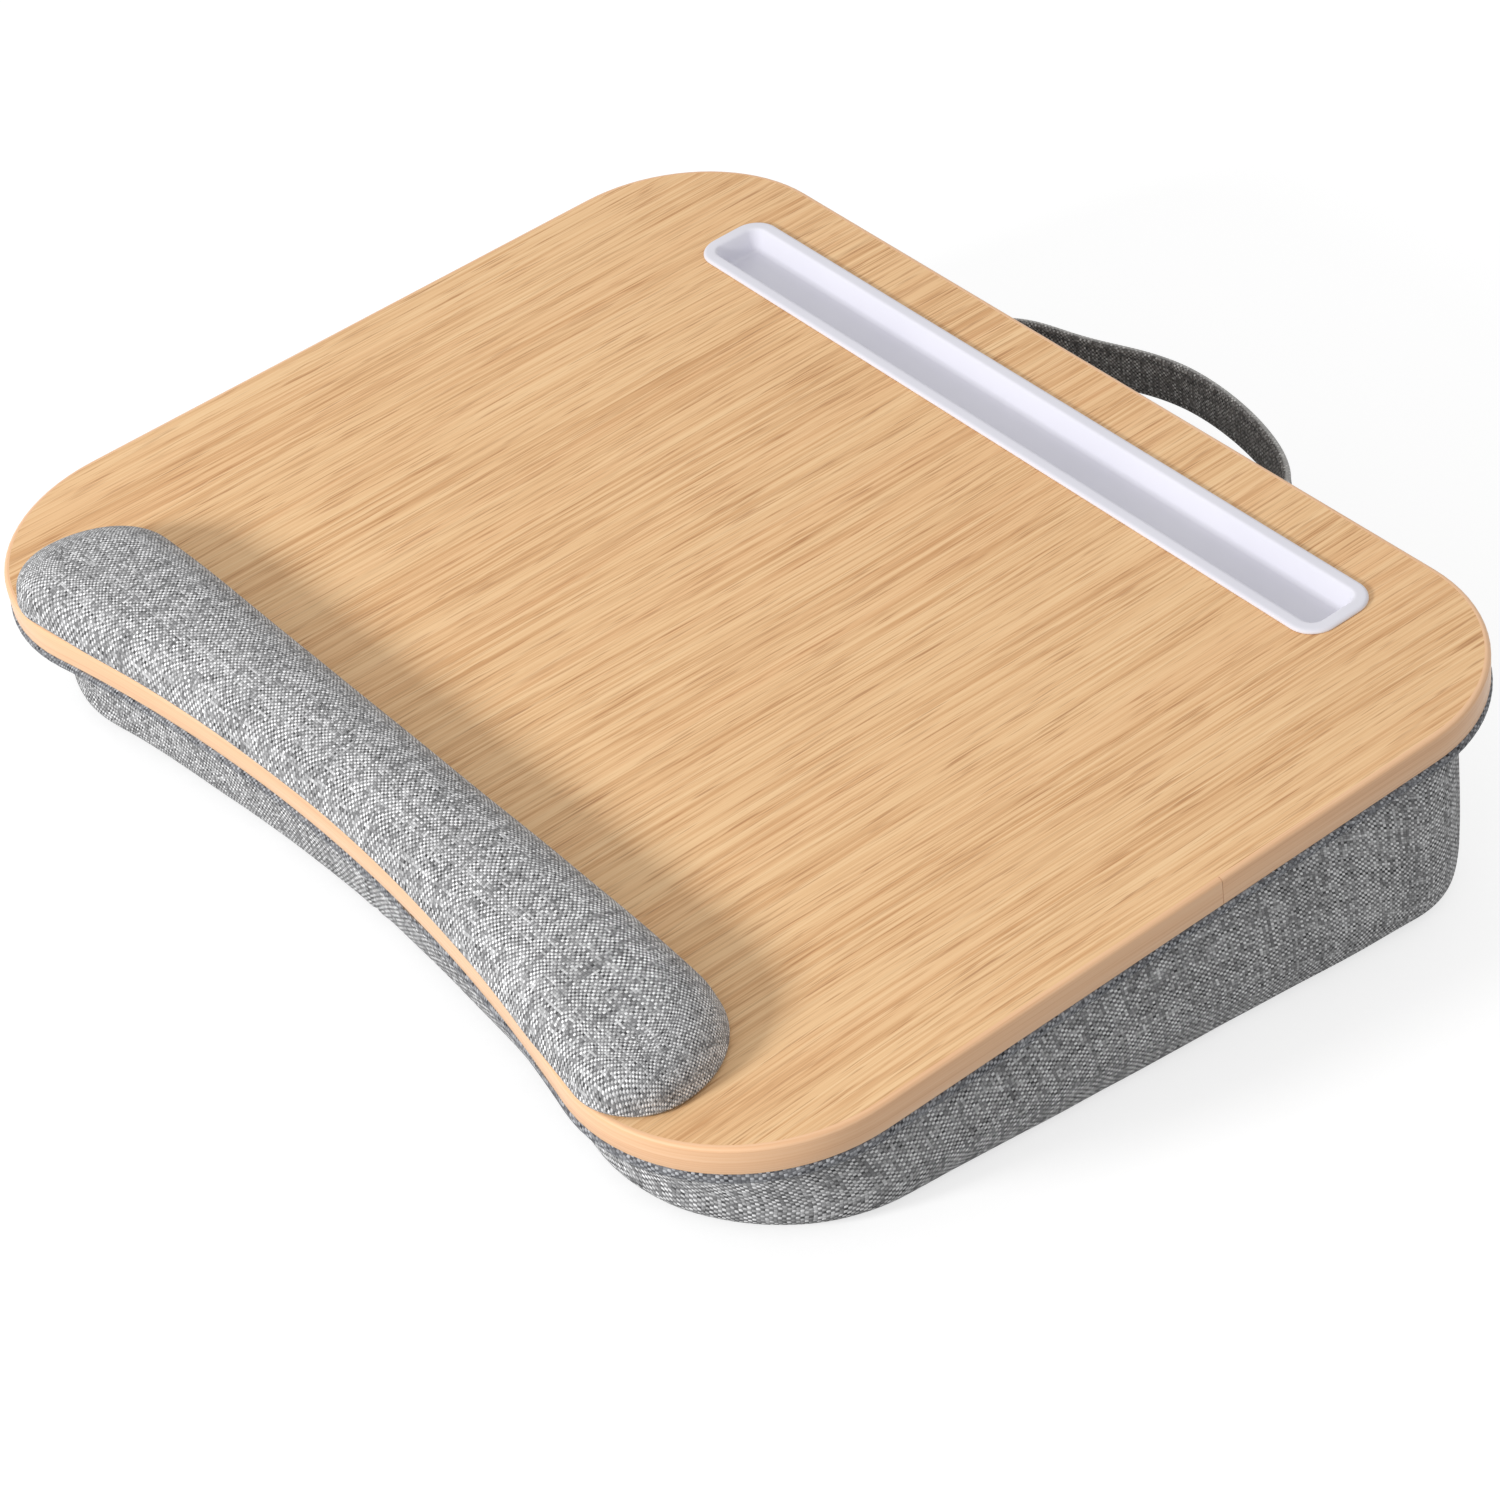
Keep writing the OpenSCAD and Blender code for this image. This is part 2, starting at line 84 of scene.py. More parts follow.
class Wire:
    # a socket that can be used in sums; a sum adds its Math nodes
    def __init__(self, finish, socket):
        self.finish, self.socket = finish, socket

    def math(self, operation, *others):
        return self.finish.node("ShaderNodeMath", {"operation": operation}, [self, *others])

    def __add__(self, other):
        return self.math("ADD", other)

    def __sub__(self, other):
        return self.math("SUBTRACT", other)

    def __mul__(self, other):
        return self.math("MULTIPLY", other)

    def __truediv__(self, other):
        return self.math("DIVIDE", other)

    def __rsub__(self, other):
        return self.finish.node("ShaderNodeMath", {"operation": "SUBTRACT"}, [other, self])

    __radd__ = __add__
    __rmul__ = __mul__


class Finish:
    # the nodes of one material, or of the world
    def __init__(self, name, owners="materials", surface="Principled BSDF", **plain):
        self.material = getattr(bpy.data, owners).new(name)
        self.material.use_nodes = True
        self.tree = self.material.node_tree
        self.surface = self.tree.nodes[surface]
        self.set(**plain)

    def set(self, **values):
        for name, value in values.items():
            self.put(self.surface.inputs[name.replace("_", " ")], value)

    def put(self, socket, value):
        if isinstance(value, Wire):
            self.tree.links.new(value.socket, socket)
        else:
            socket.default_value = value

    def node(self, kind, settings=None, values=None, out=0):
        made = self.tree.nodes.new(kind)
        for key, value in (settings or {}).items():
            if key == "stops":
                band = made.color_ramp
                while len(band.elements) < len(value):
                    band.elements.new(1)
                for stop, (at, colour) in zip(band.elements, value):
                    stop.position, stop.color = at, colour
            else:
                setattr(made, key, value)
        pairs = values.items() if isinstance(values, dict) else enumerate(values or ())
        for key, value in pairs:
            self.put(made.inputs[key], value)
        return Wire(self, made.outputs[out])

    def place(self, turn=(0, 0, 0), scale=(1, 1, 1), source=None):
        source = source or self.node("ShaderNodeTexCoord", out="Object")
        return self.node("ShaderNodeMapping", {},
                         {"Vector": source, "Rotation": turn, "Scale": scale})

    def unrolled(self):
        return self.node("ShaderNodeUVMap", {"uv_map": "unrolled"}, out="UV")

    def ray(self, kind):
        return self.node("ShaderNodeLightPath", out="Is " + kind + " Ray")

    def noise(self, where, detail=2.0, rough=0.5, out="Fac"):
        return self.node("ShaderNodeTexNoise", {}, {
            "Vector": where, "Scale": 1.0, "Detail": detail, "Roughness": rough}, out)

    def ramp(self, value, stops):
        return self.node("ShaderNodeValToRGB", {"stops": stops}, {"Fac": value})

    def mix(self, share, a, b):
        return self.node("ShaderNodeMix", {"data_type": "RGBA"}, {0: share, 6: a, 7: b}, out=2)

    def fit(self, value, low, high, newLow=0.0, newHigh=1.0):
        return self.node("ShaderNodeMapRange", {}, [value, low, high, newLow, newHigh])

    def bump(self, height, depth, strength):
        return self.node("ShaderNodeBump", {},
                         {"Height": height, "Distance": depth, "Strength": strength})


def split(finish, vector):
    parts = finish.tree.nodes.new("ShaderNodeSeparateXYZ")
    finish.put(parts.inputs[0], vector)
    return [Wire(finish, parts.outputs[i]) for i in range(3)]


def join(finish, x, y, z=0.0):
    return finish.node("ShaderNodeCombineXYZ", {}, [x, y, z])


# Wood. The grain runs front to back along the board, so the board's slope is taken out first.
wood = {
    "light": srgb(240, 202, 155),
    "middle": srgb(233, 191, 143),
    "dark": srgb(214, 166, 118),
    "line": srgb(192, 143, 97),
    "pore": srgb(172, 120, 78),
    "warm": srgb(230, 170, 122),
    "streak": 1.1,  # width of a fine streak
    "band": 24.0,
    "gloss": 0.62,
    "tilt": 8.2,
}


def woodFinish():
    f = Finish("oakTop", Specular_IOR_Level=0.22)
    x, y, z = split(f, f.place(turn=(-math.radians(wood["tilt"]), 0, 0)))
    sway = f.noise(join(f, x * 9, y * 3.0, 0.0), 1.0) - 0.5
    across = x + sway * 0.010
    broad = f.noise(join(f, across * (1000 / wood["band"]), y * 1.4, 2.0), 3.0, 0.55)
    fine = f.noise(join(f, across * (1000 / wood["streak"]), y * 9.0, 5.0), 3.0, 0.6)
    middle = f.noise(join(f, across * (330 / wood["streak"]), y * 4.5, 8.0), 2.0, 0.5)
    tone = (fine - 0.5) * 1.2 + (middle - 0.5) * 0.35 + (broad - 0.5) * 0.4 + 0.5
    colour = f.ramp(tone, [(0.30, wood["dark"]), (0.49, wood["middle"]), (0.68, wood["light"])])
    # thin dark growth lines, stronger in some bands than in others
    rings = f.noise(join(f, across * (270 / wood["streak"]), y * 5.0, 14.0), 3.0, 0.6)
    thin = f.fit((rings - 0.5).math("ABSOLUTE"), 0.0, 0.03, 1.0, 0.0)
    colour = f.mix(thin * f.fit(broad, 0.4, 0.62, 0.6, 0.25), colour, wood["line"])
    pores = f.noise(join(f, across * 1150, y * 34, 1.0), 2.0, 0.6)
    ticks = f.fit(pores, 0.57, 0.66) * f.fit(middle, 0.4, 0.6, 0.7, 0.4)
    colour = f.mix(ticks, colour, wood["pore"])
    warm = f.noise(join(f, across * 60, y * 2.2, 11.0), 2.0)
    colour = f.mix(f.fit(warm, 0.5, 0.75, 0.0, 0.2), colour, wood["warm"])
    gloss = f.fit(fine, 0.3, 0.7, wood["gloss"] + 0.06, wood["gloss"] - 0.04)
    f.set(Base_Color=colour, Roughness=gloss, Normal=f.bump(fine * 0.6 + pores * 0.4, 0.0001, 0.5))
    return f.material


def bandFinish():
    # edge band: streaks run along the edge, on the piece's own unrolled map
    f = Finish("oakEdge", Specular_IOR_Level=0.35)
    x, y, z = split(f, f.unrolled())
    fine = f.noise(join(f, x * 0.012, y * 1.4, 3.0), 3.0, 0.6)
    broad = f.noise(join(f, x * 0.004, y * 0.2, 6.0), 2.0)
    shades = [(0.32, srgb(222, 172, 130)), (0.5, srgb(237, 191, 149)), (0.68, srgb(244, 204, 166))]
    colour = f.ramp(fine * 0.6 + broad * 0.4, shades)
    f.set(Base_Color=colour, Roughness=f.fit(fine, 0.3, 0.7, 0.4, 0.32))
    f.set(Normal=f.bump(fine, 0.00006, 0.4))
    return f.material


# Linen. Threads are counted on the piece's own unrolled map, which is in millimetres.
linen = {
    "thread": 0.95,
    "warp": 0.66,  # shade of the pale yarns, from dark to light
    "weft": 0.42,
    "dark": srgb(62, 62, 63),
    "middle": srgb(143, 143, 144),
    "light": srgb(246, 246, 247),
    "relief": 0.00022,  # metres
}
panelLinen = {**linen, "dark": srgb(52, 53, 57), "middle": srgb(118, 119, 123),
              "light": srgb(186, 188, 192)}
darkLinen = {
    "thread": 0.8,
    "warp": 0.58,
    "weft": 0.4,
    "dark": srgb(52, 52, 51),
    "middle": srgb(122, 119, 117),
    "light": srgb(226, 225, 222),
    "relief": 0.00022,
    "rim": (21.2, 2.0),  # place and half width of the painted highlight on the strap's top edge, round the strap's section
}


def linenFinish(name, cloth):
    f = Finish(name, Specular_IOR_Level=0.25, Sheen_Weight=0.08, Sheen_Roughness=0.5)
    uv = f.unrolled()
    x, y, z = split(f, uv)
    drift = f.noise(f.place(scale=(0.11, 0.11, 0.11), source=uv), 2.0, out="Color")
    sway = f.node("ShaderNodeVectorMath", {"operation": "SUBTRACT"}, [drift, (0.5, 0.5, 0.5)])
    sx, sy, sz = split(f, sway)
    a = x / cloth["thread"] + sx * 1.3
    b = y / cloth["thread"] + sy * 1.3
    cellA, cellB = a.math("FLOOR"), b.math("FLOOR")
    partA, partB = a - cellA, b - cellB
    over = (cellA + cellB).math("FLOORED_MODULO", 2.0)
    archA, archB = (partA * math.pi).math("SINE"), (partB * math.pi).math("SINE")
    warp = archA.math("POWER", 0.6) * (archB * 0.55 + 0.45)
    weft = archB.math("POWER", 0.6) * (archA * 0.55 + 0.45)
    height = weft + (warp - weft) * over
    # each yarn has its own shade, which drifts along it as spun heather does
    yarnA, yarnB = (f.node("ShaderNodeTexWhiteNoise", {"noise_dimensions": "1D"}, {"W": yarn})
                    for yarn in (cellA * 1.37 + 3.1, cellB * 1.71 + 8.7))
    driftA = f.noise(join(f, cellA * 5.3, b * 0.22, 1.0), 2.0, 0.7)
    driftB = f.noise(join(f, a * 0.22, cellB * 5.3, 9.0), 2.0, 0.7)
    toneA = (yarnA - 0.5) * 0.16 + (driftA - 0.5) * 0.85 + cloth["warp"]
    toneB = (yarnB - 0.5) * 0.16 + (driftB - 0.5) * 0.85 + cloth["weft"]
    tone = toneB + (toneA - toneB) * over
    speck = f.node("ShaderNodeTexWhiteNoise", {"noise_dimensions": "2D"},
                   {"Vector": join(f, cellA, cellB)})
    patch = f.noise(f.place(scale=(0.05, 0.05, 0.05), source=uv), 3.0)
    tone = tone + (speck - 0.5) * 0.2 + (patch - 0.5) * 0.08
    colour = f.ramp(tone, [(0.2, cloth["dark"]), (0.5, cloth["middle"]), (0.8, cloth["light"])])
    # painted shade: where the yarns dip into the gaps between them, the colour is drawn towards the
    # dark yarn shade
    colour = f.mix(f.fit(height, 0.0, 0.6, 0.6, 0.0), colour, cloth["dark"])
    fuzz = f.noise(f.place(scale=(3.0, 3.0, 3.0), source=uv), 2.0)
    # painted highlight: a band at the strap's top edge is mixed towards the light yarn colour,
    # standing in for the light that the top edge catches from above
    if "rim" in cloth:
        at, half = cloth["rim"]
        paintedRimLight = f.fit((y - at).math("ABSOLUTE"), half * 0.7, half, 1.0, 0.0)
        colour = f.mix(paintedRimLight * f.fit(fuzz, 0.3, 0.7, 0.3, 0.6), colour, cloth["light"])
    f.set(Base_Color=colour, Roughness=f.fit(fuzz, 0.2, 0.8, 0.82, 0.96))
    f.set(Normal=f.bump(height + fuzz * 0.25, cloth["relief"], 0.7))
    return f.material


def plainCloth(name, colour, darker, pitch):
    f = Finish(name, Specular_IOR_Level=0.2, Sheen_Weight=0.1)
    uv = f.unrolled()
    x, y, z = split(f, uv)
    rib = (x * (math.tau / pitch)).math("SINE") * (y * (math.tau / pitch)).math("SINE")
    mottle = f.noise(f.place(scale=(0.3, 0.3, 0.3), source=uv), 4.0, 0.65)
    f.set(Base_Color=f.mix(f.fit(rib + mottle * 1.4, -0.2, 1.6), darker, colour))
    f.set(Roughness=f.fit(mottle, 0.2, 0.8, 0.8, 0.95), Normal=f.bump(rib, 0.0002, 0.6))
    return f.material


def threadFinish(name, colour):
    f = Finish(name, Specular_IOR_Level=0.4)
    twist = f.noise(f.place(scale=(2600, 2600, 900)), 2.0)
    darker = tuple(c * 0.7 for c in colour[:3]) + (1.0,)
    f.set(Base_Color=f.mix(f.fit(twist, 0.3, 0.7), darker, colour))
    f.set(Roughness=f.fit(twist, 0.3, 0.7, 0.5, 0.7), Normal=f.bump(twist, 0.0001, 0.5))
    return f.material


def grainFinish(name, colour, darker, size, depth, rough, metal=0.0):
    # fibreboard, foam, steel and moulded plastic: a fine mottle of the right size
    f = Finish(name, Specular_IOR_Level=0.35, Metallic=metal)
    fine = f.noise(f.place(scale=(1000 / size,) * 3), 4.0, 0.65)
    broad = f.noise(f.place(scale=(60, 60, 60)), 2.0)
    mottle = f.fit(fine * 0.75 + broad * 0.25, 0.3, 0.7)
    f.set(Base_Color=f.mix(mottle, srgb(*darker), srgb(*colour)))
    f.set(Roughness=f.fit(fine, 0.3, 0.7, rough - 0.08, rough + 0.08))
    f.set(Normal=f.bump(fine, depth, 0.6))
    return f.material


def trayFinish():
    f = Finish("trayWhite", Specular_IOR_Level=0.4)
    cloud = f.noise(f.place(scale=(22, 22, 22)), 2.0)
    peel = f.noise(f.place(scale=(420, 420, 420)), 2.0)
    f.set(Base_Color=f.mix(f.fit(cloud, 0.3, 0.7), srgb(222, 221, 230), srgb(226, 225, 233)))
    f.set(Roughness=f.fit(peel, 0.3, 0.7, 0.28, 0.36), Normal=f.bump(peel, 0.00001, 0.4))
    return f.material


finishes = {
    "wood": woodFinish(),
    "band": bandFinish(),
    "rest": linenFinish("restLinen", linen),
    "wall": linenFinish("cushionLinen", linen),
    "panel": linenFinish("panelLinen", panelLinen),
    "strap": linenFinish("strapLinen", darkLinen),
    "bottom": plainCloth("bottomCloth", srgb(96, 97, 100), srgb(58, 59, 62), 1.6),
    "webbing": plainCloth("webbing", srgb(150, 146, 138), srgb(96, 92, 86), 2.4),
    "thread": threadFinish("greyThread", srgb(140, 142, 146)),
    "darkThread": threadFinish("charcoalThread", srgb(92, 92, 93)),
    "tray": trayFinish(),
    # colour, its darker shade, size of a grain, depth of its relief in metres, roughness
    "board": grainFinish("fibreboard", (186, 150, 108), (140, 106, 70), 0.9, 0.0001, 0.7),
    "backing": grainFinish("backingSheet", (150, 120, 88), (130, 102, 72), 2.0, 0.00003, 0.5),
    "foam": grainFinish("creamFoam", (236, 230, 208), (206, 198, 170), 1.4, 0.0006, 0.9),
    "tape": grainFinish("whiteTape", (238, 238, 236), (220, 220, 218), 1.2, 0.0001, 0.6),
    "steel": grainFinish("zincSteel", (208, 208, 212), (170, 170, 176), 0.5, 0.00002, 0.32, 1.0),
}
print("finishes made")


# Outlines in plan. Each starts at the middle of the front and runs anticlockwise with the same
# count of points, so that one outline can be skinned to another.
board = {
    "width": 430.0,
    "depth": 332.0,
    "backR": 57.0,
    "frontR": 61.0,
    "sag": 16.3,
    "tilt": 8.2,
    "height": 68.3,  # of the middle of its face
    "thick": 10.0,
    "band": 1.8,
    "arris": 1.5,
    "jointY": 22.0,
    "jointGap": 0.15,
}
slope = math.radians(board["tilt"])


def hollowOf(width, depth, cornerR, sag):
    a = width / 2 - cornerR
    r = (a * a + sag * sag) / (2 * sag) - cornerR
    return sag - depth / 2 - r, r


def arcPoints(centre, radius, start, end, steps):
    a = np.radians(start + (end - start) * np.asarray(steps))
    return np.stack([centre[0] + radius * np.cos(a), centre[1] + radius * np.sin(a)], 1)


def linePoints(a, b, steps):
    t = np.asarray(steps)[:, None]
    return np.array(a) * (1 - t) + np.array(b) * t


def roundRect(half, high, r, steps):
    points = []
    for sx, sy, start in ((1, -1, -90), (1, 1, 0), (-1, 1, 90), (-1, -1, 180)):
        corner = (sx * (half - r), sy * (high - r))
        points.append(arcPoints(corner, r, start, start + 90, np.linspace(0, 1, steps)))
    return np.concatenate(points)


def evenly(count):
    return np.arange(count) / count


# points close together at the front middle, where the gusset's seam is
frontSteps = np.concatenate([[0, 0.004, 0.009, 0.016, 0.028], np.linspace(0.05, 1, 28)[:-1]])


def outline(shape, cut=0.0):
    half, backY, backR, frontR = (shape[k] for k in ("half", "backY", "backR", "frontR"))
    holeY, holeR = shape["hollow"]
    bx, fx = half - backR, half - frontR
    fy = holeY + math.sqrt((holeR + frontR) ** 2 - fx * fx)
    swing = math.degrees(math.atan2(fy - holeY, fx))
    right = np.concatenate([
        arcPoints((0, holeY), holeR + cut, 90, swing, frontSteps),
        arcPoints((fx, fy), frontR - cut, swing - 180, 0, evenly(22)),
        linePoints((half - cut, fy), (half - cut, backY - backR), evenly(34)),
        arcPoints((bx, backY - backR), backR - cut, 0, 90, evenly(20)),
        linePoints((bx, backY - cut), (0, backY - cut), evenly(31)),
    ])
    left = np.concatenate([[[0, backY - cut]], right[:0:-1] * [-1, 1]])
    return np.concatenate([right, left])


boardShape = {
    "half": board["width"] / 2,
    "backY": board["depth"] / 2,
    "backR": board["backR"],
    "frontR": board["frontR"],
    "hollow": hollowOf(board["width"], board["depth"], board["frontR"], board["sag"]),
}


def raised(points, z):
    return np.column_stack([points, np.broadcast_to(z, len(points))])


def onBoard(points):
    # from the board's own frame, whose origin is the middle of its face
    x, y, z = np.moveaxis(np.asarray(points, float), -1, 0)
    c, s = math.cos(slope), math.sin(slope)
    return np.stack([x, y * c - z * s, y * s + z * c + board["height"]], -1)


def boardRing(cut, z):
    return onBoard(raised(outline(boardShape, cut), z))


def unroll(grid, around, stacked):
    # millimetres along and across the rings, with one more row and column where the grid closes
    wide = np.concatenate([grid, grid[:, :1]], 1) if around else grid
    wide = np.concatenate([wide, wide[:1]], 0) if stacked else wide
    along = np.linalg.norm(np.diff(wide, axis=1), axis=2).mean(0)
    across = np.linalg.norm(np.diff(wide, axis=0), axis=2)
    u = np.concatenate([[0], np.cumsum(along)])
    v = np.concatenate([np.zeros((1, wide.shape[1])), np.cumsum(across, 0)])
    return np.stack([np.broadcast_to(u, v.shape), v], -1)


def gridMesh(name, grid, finish, around=True, stacked=False, caps="first last", uv=None, sharp=180):
    # grid is rings of points, each anticlockwise seen from the last ring; caps closes the first
    # and the last one
    grid = np.asarray(grid)
    rings, count = grid.shape[:2]
    uv = unroll(grid, around, stacked) if uv is None else uv
    faces, corners = [], []
    for k in range(rings if stacked else rings - 1):
        for i in range(count if around else count - 1):
            k2, i2 = (k + 1) % rings, (i + 1) % count
            faces.append((k * count + i, k * count + i2, k2 * count + i2, k2 * count + i))
            corners += [uv[k, i], uv[k, i + 1], uv[k + 1, i + 1], uv[k + 1, i]]
    if "first" in caps:
        faces.append(tuple(range(count))[::-1])
        corners += [grid[0, i, :2] for i in range(count)][::-1]
    if "last" in caps:
        faces.append(tuple((rings - 1) * count + i for i in range(count)))
        corners += [grid[-1, i, :2] for i in range(count)]
    if "profile" in caps:  # ends of an open sweep whose section closes
        faces.append(tuple(k * count for k in range(rings)))
        corners += [uv[k, 0] for k in range(rings)]
        faces.append(tuple(k * count + count - 1 for k in range(rings))[::-1])
        corners += [uv[k, count - 1] for k in range(rings)][::-1]
    mesh = bpy.data.meshes.new(name)
    mesh.from_pydata((grid.reshape(-1, 3) * mm).tolist(), [], faces)
    layer = mesh.uv_layers.new(name="unrolled")
    layer.data.foreach_set("uv", np.asarray(corners, np.float32).ravel())
    mesh.materials.append(finish)
    mesh.shade_smooth()
    mesh.set_sharp_from_angle(angle=math.radians(sharp))
    return placed(name, mesh)


def readBack(items, key):
    found = np.empty(len(items) * 3, np.float32)
    items.foreach_get(key, found)
    return found.reshape(-1, 3).astype(float)


def coordsOf(obj):
    return readBack(obj.data.vertices, "co")


def setCoords(obj, coords):
    obj.data.vertices.foreach_set("co", np.asarray(coords, np.float32).ravel())
    obj.data.update()


def normalsOf(obj):
    return readBack(obj.data.vertex_normals, "vector")


def applied(obj):
    # bakes the modifiers into the mesh
    deps = bpy.context.evaluated_depsgraph_get()
    mesh = bpy.data.meshes.new_from_object(obj.evaluated_get(deps), preserve_all_data_layers=True,
                                           depsgraph=deps)
    obj.modifiers.clear()
    old, obj.data = obj.data, mesh
    bpy.data.meshes.remove(old)
    mesh.name = obj.name
    return obj


def cutCaps(obj):
    # a cap of hundreds of corners makes the subdivision very slow, so it becomes triangles first
    shell = bmesh.new()
    shell.from_mesh(obj.data)
    bmesh.ops.triangulate(shell, faces=[f for f in shell.faces if len(f.verts) > 4])
    shell.to_mesh(obj.data)
    shell.free()
    return obj


def subdivided(obj, levels=1):
    smoother = obj.modifiers.new("smoother", "SUBSURF")
    smoother.levels = smoother.render_levels = levels
    return applied(obj)


def rippled(coords, size, seed):
    # smooth noise at each point, about -1 to 1; size is metres
    return np.array([noise.noise(Vector(p) / size + Vector((seed, seed * 0.7, 0))) for p in coords])


def standsFor(piece, node):
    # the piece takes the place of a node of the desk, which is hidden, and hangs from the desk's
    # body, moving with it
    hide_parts(node)
    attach(piece, "desk")


# Edge band, with its rounded arris and its butt joint on the right side
def edgeBand():
    arris, thick, inner = board["arris"], board["thick"], board["band"] + 0.12
    section = [(0.35, -thick), (0.1, 0.1 - thick), (0.0, 0.35 - thick), (0.0, -thick / 2)]
    for a in np.radians(np.linspace(0, 90, 9)):
        section.append((arris * (1 - math.cos(a)), arris * (math.sin(a) - 1)))
    section += [(inner, 0.012), (inner, -0.3), (board["band"], -0.4), (board["band"], -thick)]
    low, high = (board["jointY"] + side * board["jointGap"] / 2 for side in (-1, 1))
    rings = []
    for cut, z in section:
        ring, x = outline(boardShape, cut), boardShape["half"] - cut
        first = int(np.argmax((ring[:, 0] > 200) & (ring[:, 1] > board["jointY"])))
        ring = np.concatenate([[[x, high]], ring[first:], ring[:first], [[x, low]]])
        rings.append(onBoard(raised(ring, z)))
    band = gridMesh("edgeBand", rings, finishes["band"], around=False, stacked=True,
                    caps="profile", sharp=40)
    standsFor(band, "edge_band")


edgeBand()
print("band made")

tray = {
    "length": 314.0,
    "width": 30.0,
    "y": 129.0,
    "rim": 5.0,
    "rimHeight": 1.4,
    "depth": 7.2,
    "wall": 1.2,
    "cornerR": 9.5,
    "draft": 2.0,
}


def trayRing(inset, z):
    half, deep = tray["length"] / 2 - inset, tray["width"] / 2 - inset
    ring = roundRect(half, deep, max(tray["cornerR"] - inset, 1.2), 13)
    return onBoard(raised(ring + [0, tray["y"]], z))


def slotTray():
    rim, top, floor, wall = tray["rim"], tray["rimHeight"], -tray["depth"], tray["wall"]
    outer = rim - wall
    under = outer + tray["draft"]
    profile = [(under + 2.2, floor - wall), (under + 0.4, floor - wall + 0.5), (under, floor)]
    profile += [(outer, -0.05), (0.5, 0.02), (0.12, 0.1), (0.0, 0.35)]
    for a in np.radians(np.linspace(15, 90, 7)):
        profile.append((1.35 * (1 - math.cos(a)), 0.35 + (top - 0.35) * math.sin(a)))
    profile += [(2.2, top), (rim - 1.5, top)]
    for a in np.radians(np.linspace(12, 78, 6)):
        profile.append((rim - 1.2 + 1.2 * math.sin(a), top - 1.2 * (1 - math.cos(a))))
    low = rim + tray["draft"]
    profile += [(rim + 0.25, 0.0), (low - 0.55, floor + 1.9)]
    for a in np.radians(np.linspace(15, 90, 6)):
        profile.append((low - 0.5 + 1.6 * (1 - math.cos(a)), floor + 1.6 * (1 - math.sin(a))))
    profile += [(low + 1.8, floor)]
    rings = [trayRing(inset, z) for inset, z in profile]
    made = gridMesh("slotTray", rings, finishes["tray"], sharp=60)
    standsFor(made, "slot_tray")


slotTray()
print("tray made")

panel = {
    "proud": 0.4,
    "top": -10.05,
    "low": -14.2,
    "turn": 1.7,  # radius of its covered edge
    "foldWidth": 20.0,
    "cloth": 0.5,
}


def panelWrap():
    # one cloth drawn over the panel's edge and folded on to its top, seen under the wood
    proud, turn, top, low = panel["proud"], panel["turn"], panel["top"], panel["low"]
    path = [(panel["foldWidth"], top), (8.0, top), (turn - proud + 0.5, top)]
    for a in np.radians(np.linspace(90, 0, 6)):
        path.append((turn * (1 - math.cos(a)) - proud, top - turn * (1 - math.sin(a))))
    for a in np.radians(np.linspace(0, -90, 6)):
        path.append((turn * (1 - math.cos(a)) - proud, low + turn * (1 + math.sin(a))))
    path += [(4.0, low), (12.0, low), (30.0, low)]
    rings = [boardRing(cut, z) for cut, z in path]
    middle = np.array([0.0, 0.0, low])
    base = raised(outline(boardShape, 30.0), low)
    for share in (0.75, 0.5, 0.25, 0.04):
        rings.append(onBoard(middle + (base - middle) * share))
    grid = np.array(rings)[::-1]
    wrap = gridMesh("panelWrap", grid, finishes["panel"], caps="first", sharp=70)
    points = coordsOf(wrap) / mm
    # only the covered edge ripples
    level = points @ [0, math.sin(-slope), math.cos(slope)]
    edge = np.exp(-((level - (board["height"] * math.cos(slope) - 12.1)) / 4) ** 2)
    push = rippled(coordsOf(wrap), 0.035, 4) * 0.22 * edge
    setCoords(wrap, (points + normalsOf(wrap) * push[:, None]) * mm)
    shell = wrap.modifiers.new("shell", "SOLIDIFY")
    shell.thickness, shell.offset = panel["cloth"] * mm, -1
    applied(wrap)
    standsFor(wrap, "panel_fabric")


panelWrap()
print("panel covered")


air = {
    "frames": 16,
    "mass": 0.3,
    "damping": 2.0,
    "stiffness": 15.0,
    "bending": 0.6,
}


def inflate(obj, held, cap, pressure):
    # fills a closed cover; held is the vertices that are sewn down, cap how far a point may move
    before = coordsOf(obj)
    group = obj.vertex_groups.new(name="held")
    group.add([int(i) for i in held], 1.0, "REPLACE")
    cloth = obj.modifiers.new("cloth", "CLOTH")
    s = cloth.settings
    s.quality, s.mass, s.air_damping = 4, air["mass"], air["damping"]
    s.tension_stiffness = s.compression_stiffness = air["stiffness"]
    s.shear_stiffness, s.bending_stiffness = air["stiffness"] / 2, air["bending"]
    s.use_pressure, s.uniform_pressure_force = True, pressure
    s.effector_weights.gravity = 0
    s.vertex_group_mass = "held"
    cloth.point_cache.frame_start, cloth.point_cache.frame_end = 1, air["frames"]
    for step in range(1, air["frames"] + 1):
        bpy.context.scene.frame_set(step)
    move = coordsOf(obj.evaluated_get(bpy.context.evaluated_depsgraph_get())) - before
    away = normalsOf(obj)
    move -= away * np.minimum((move * away).sum(1, keepdims=True), 0)  # nothing sinks in
    limit = cap * mm
    move *= limit / (limit + np.linalg.norm(move, axis=1, keepdims=True))  # eases towards the cap
    obj.modifiers.remove(cloth)
    obj.vertex_groups.clear()
    bpy.context.scene.frame_set(1)
    setCoords(obj, before + move)
    return obj


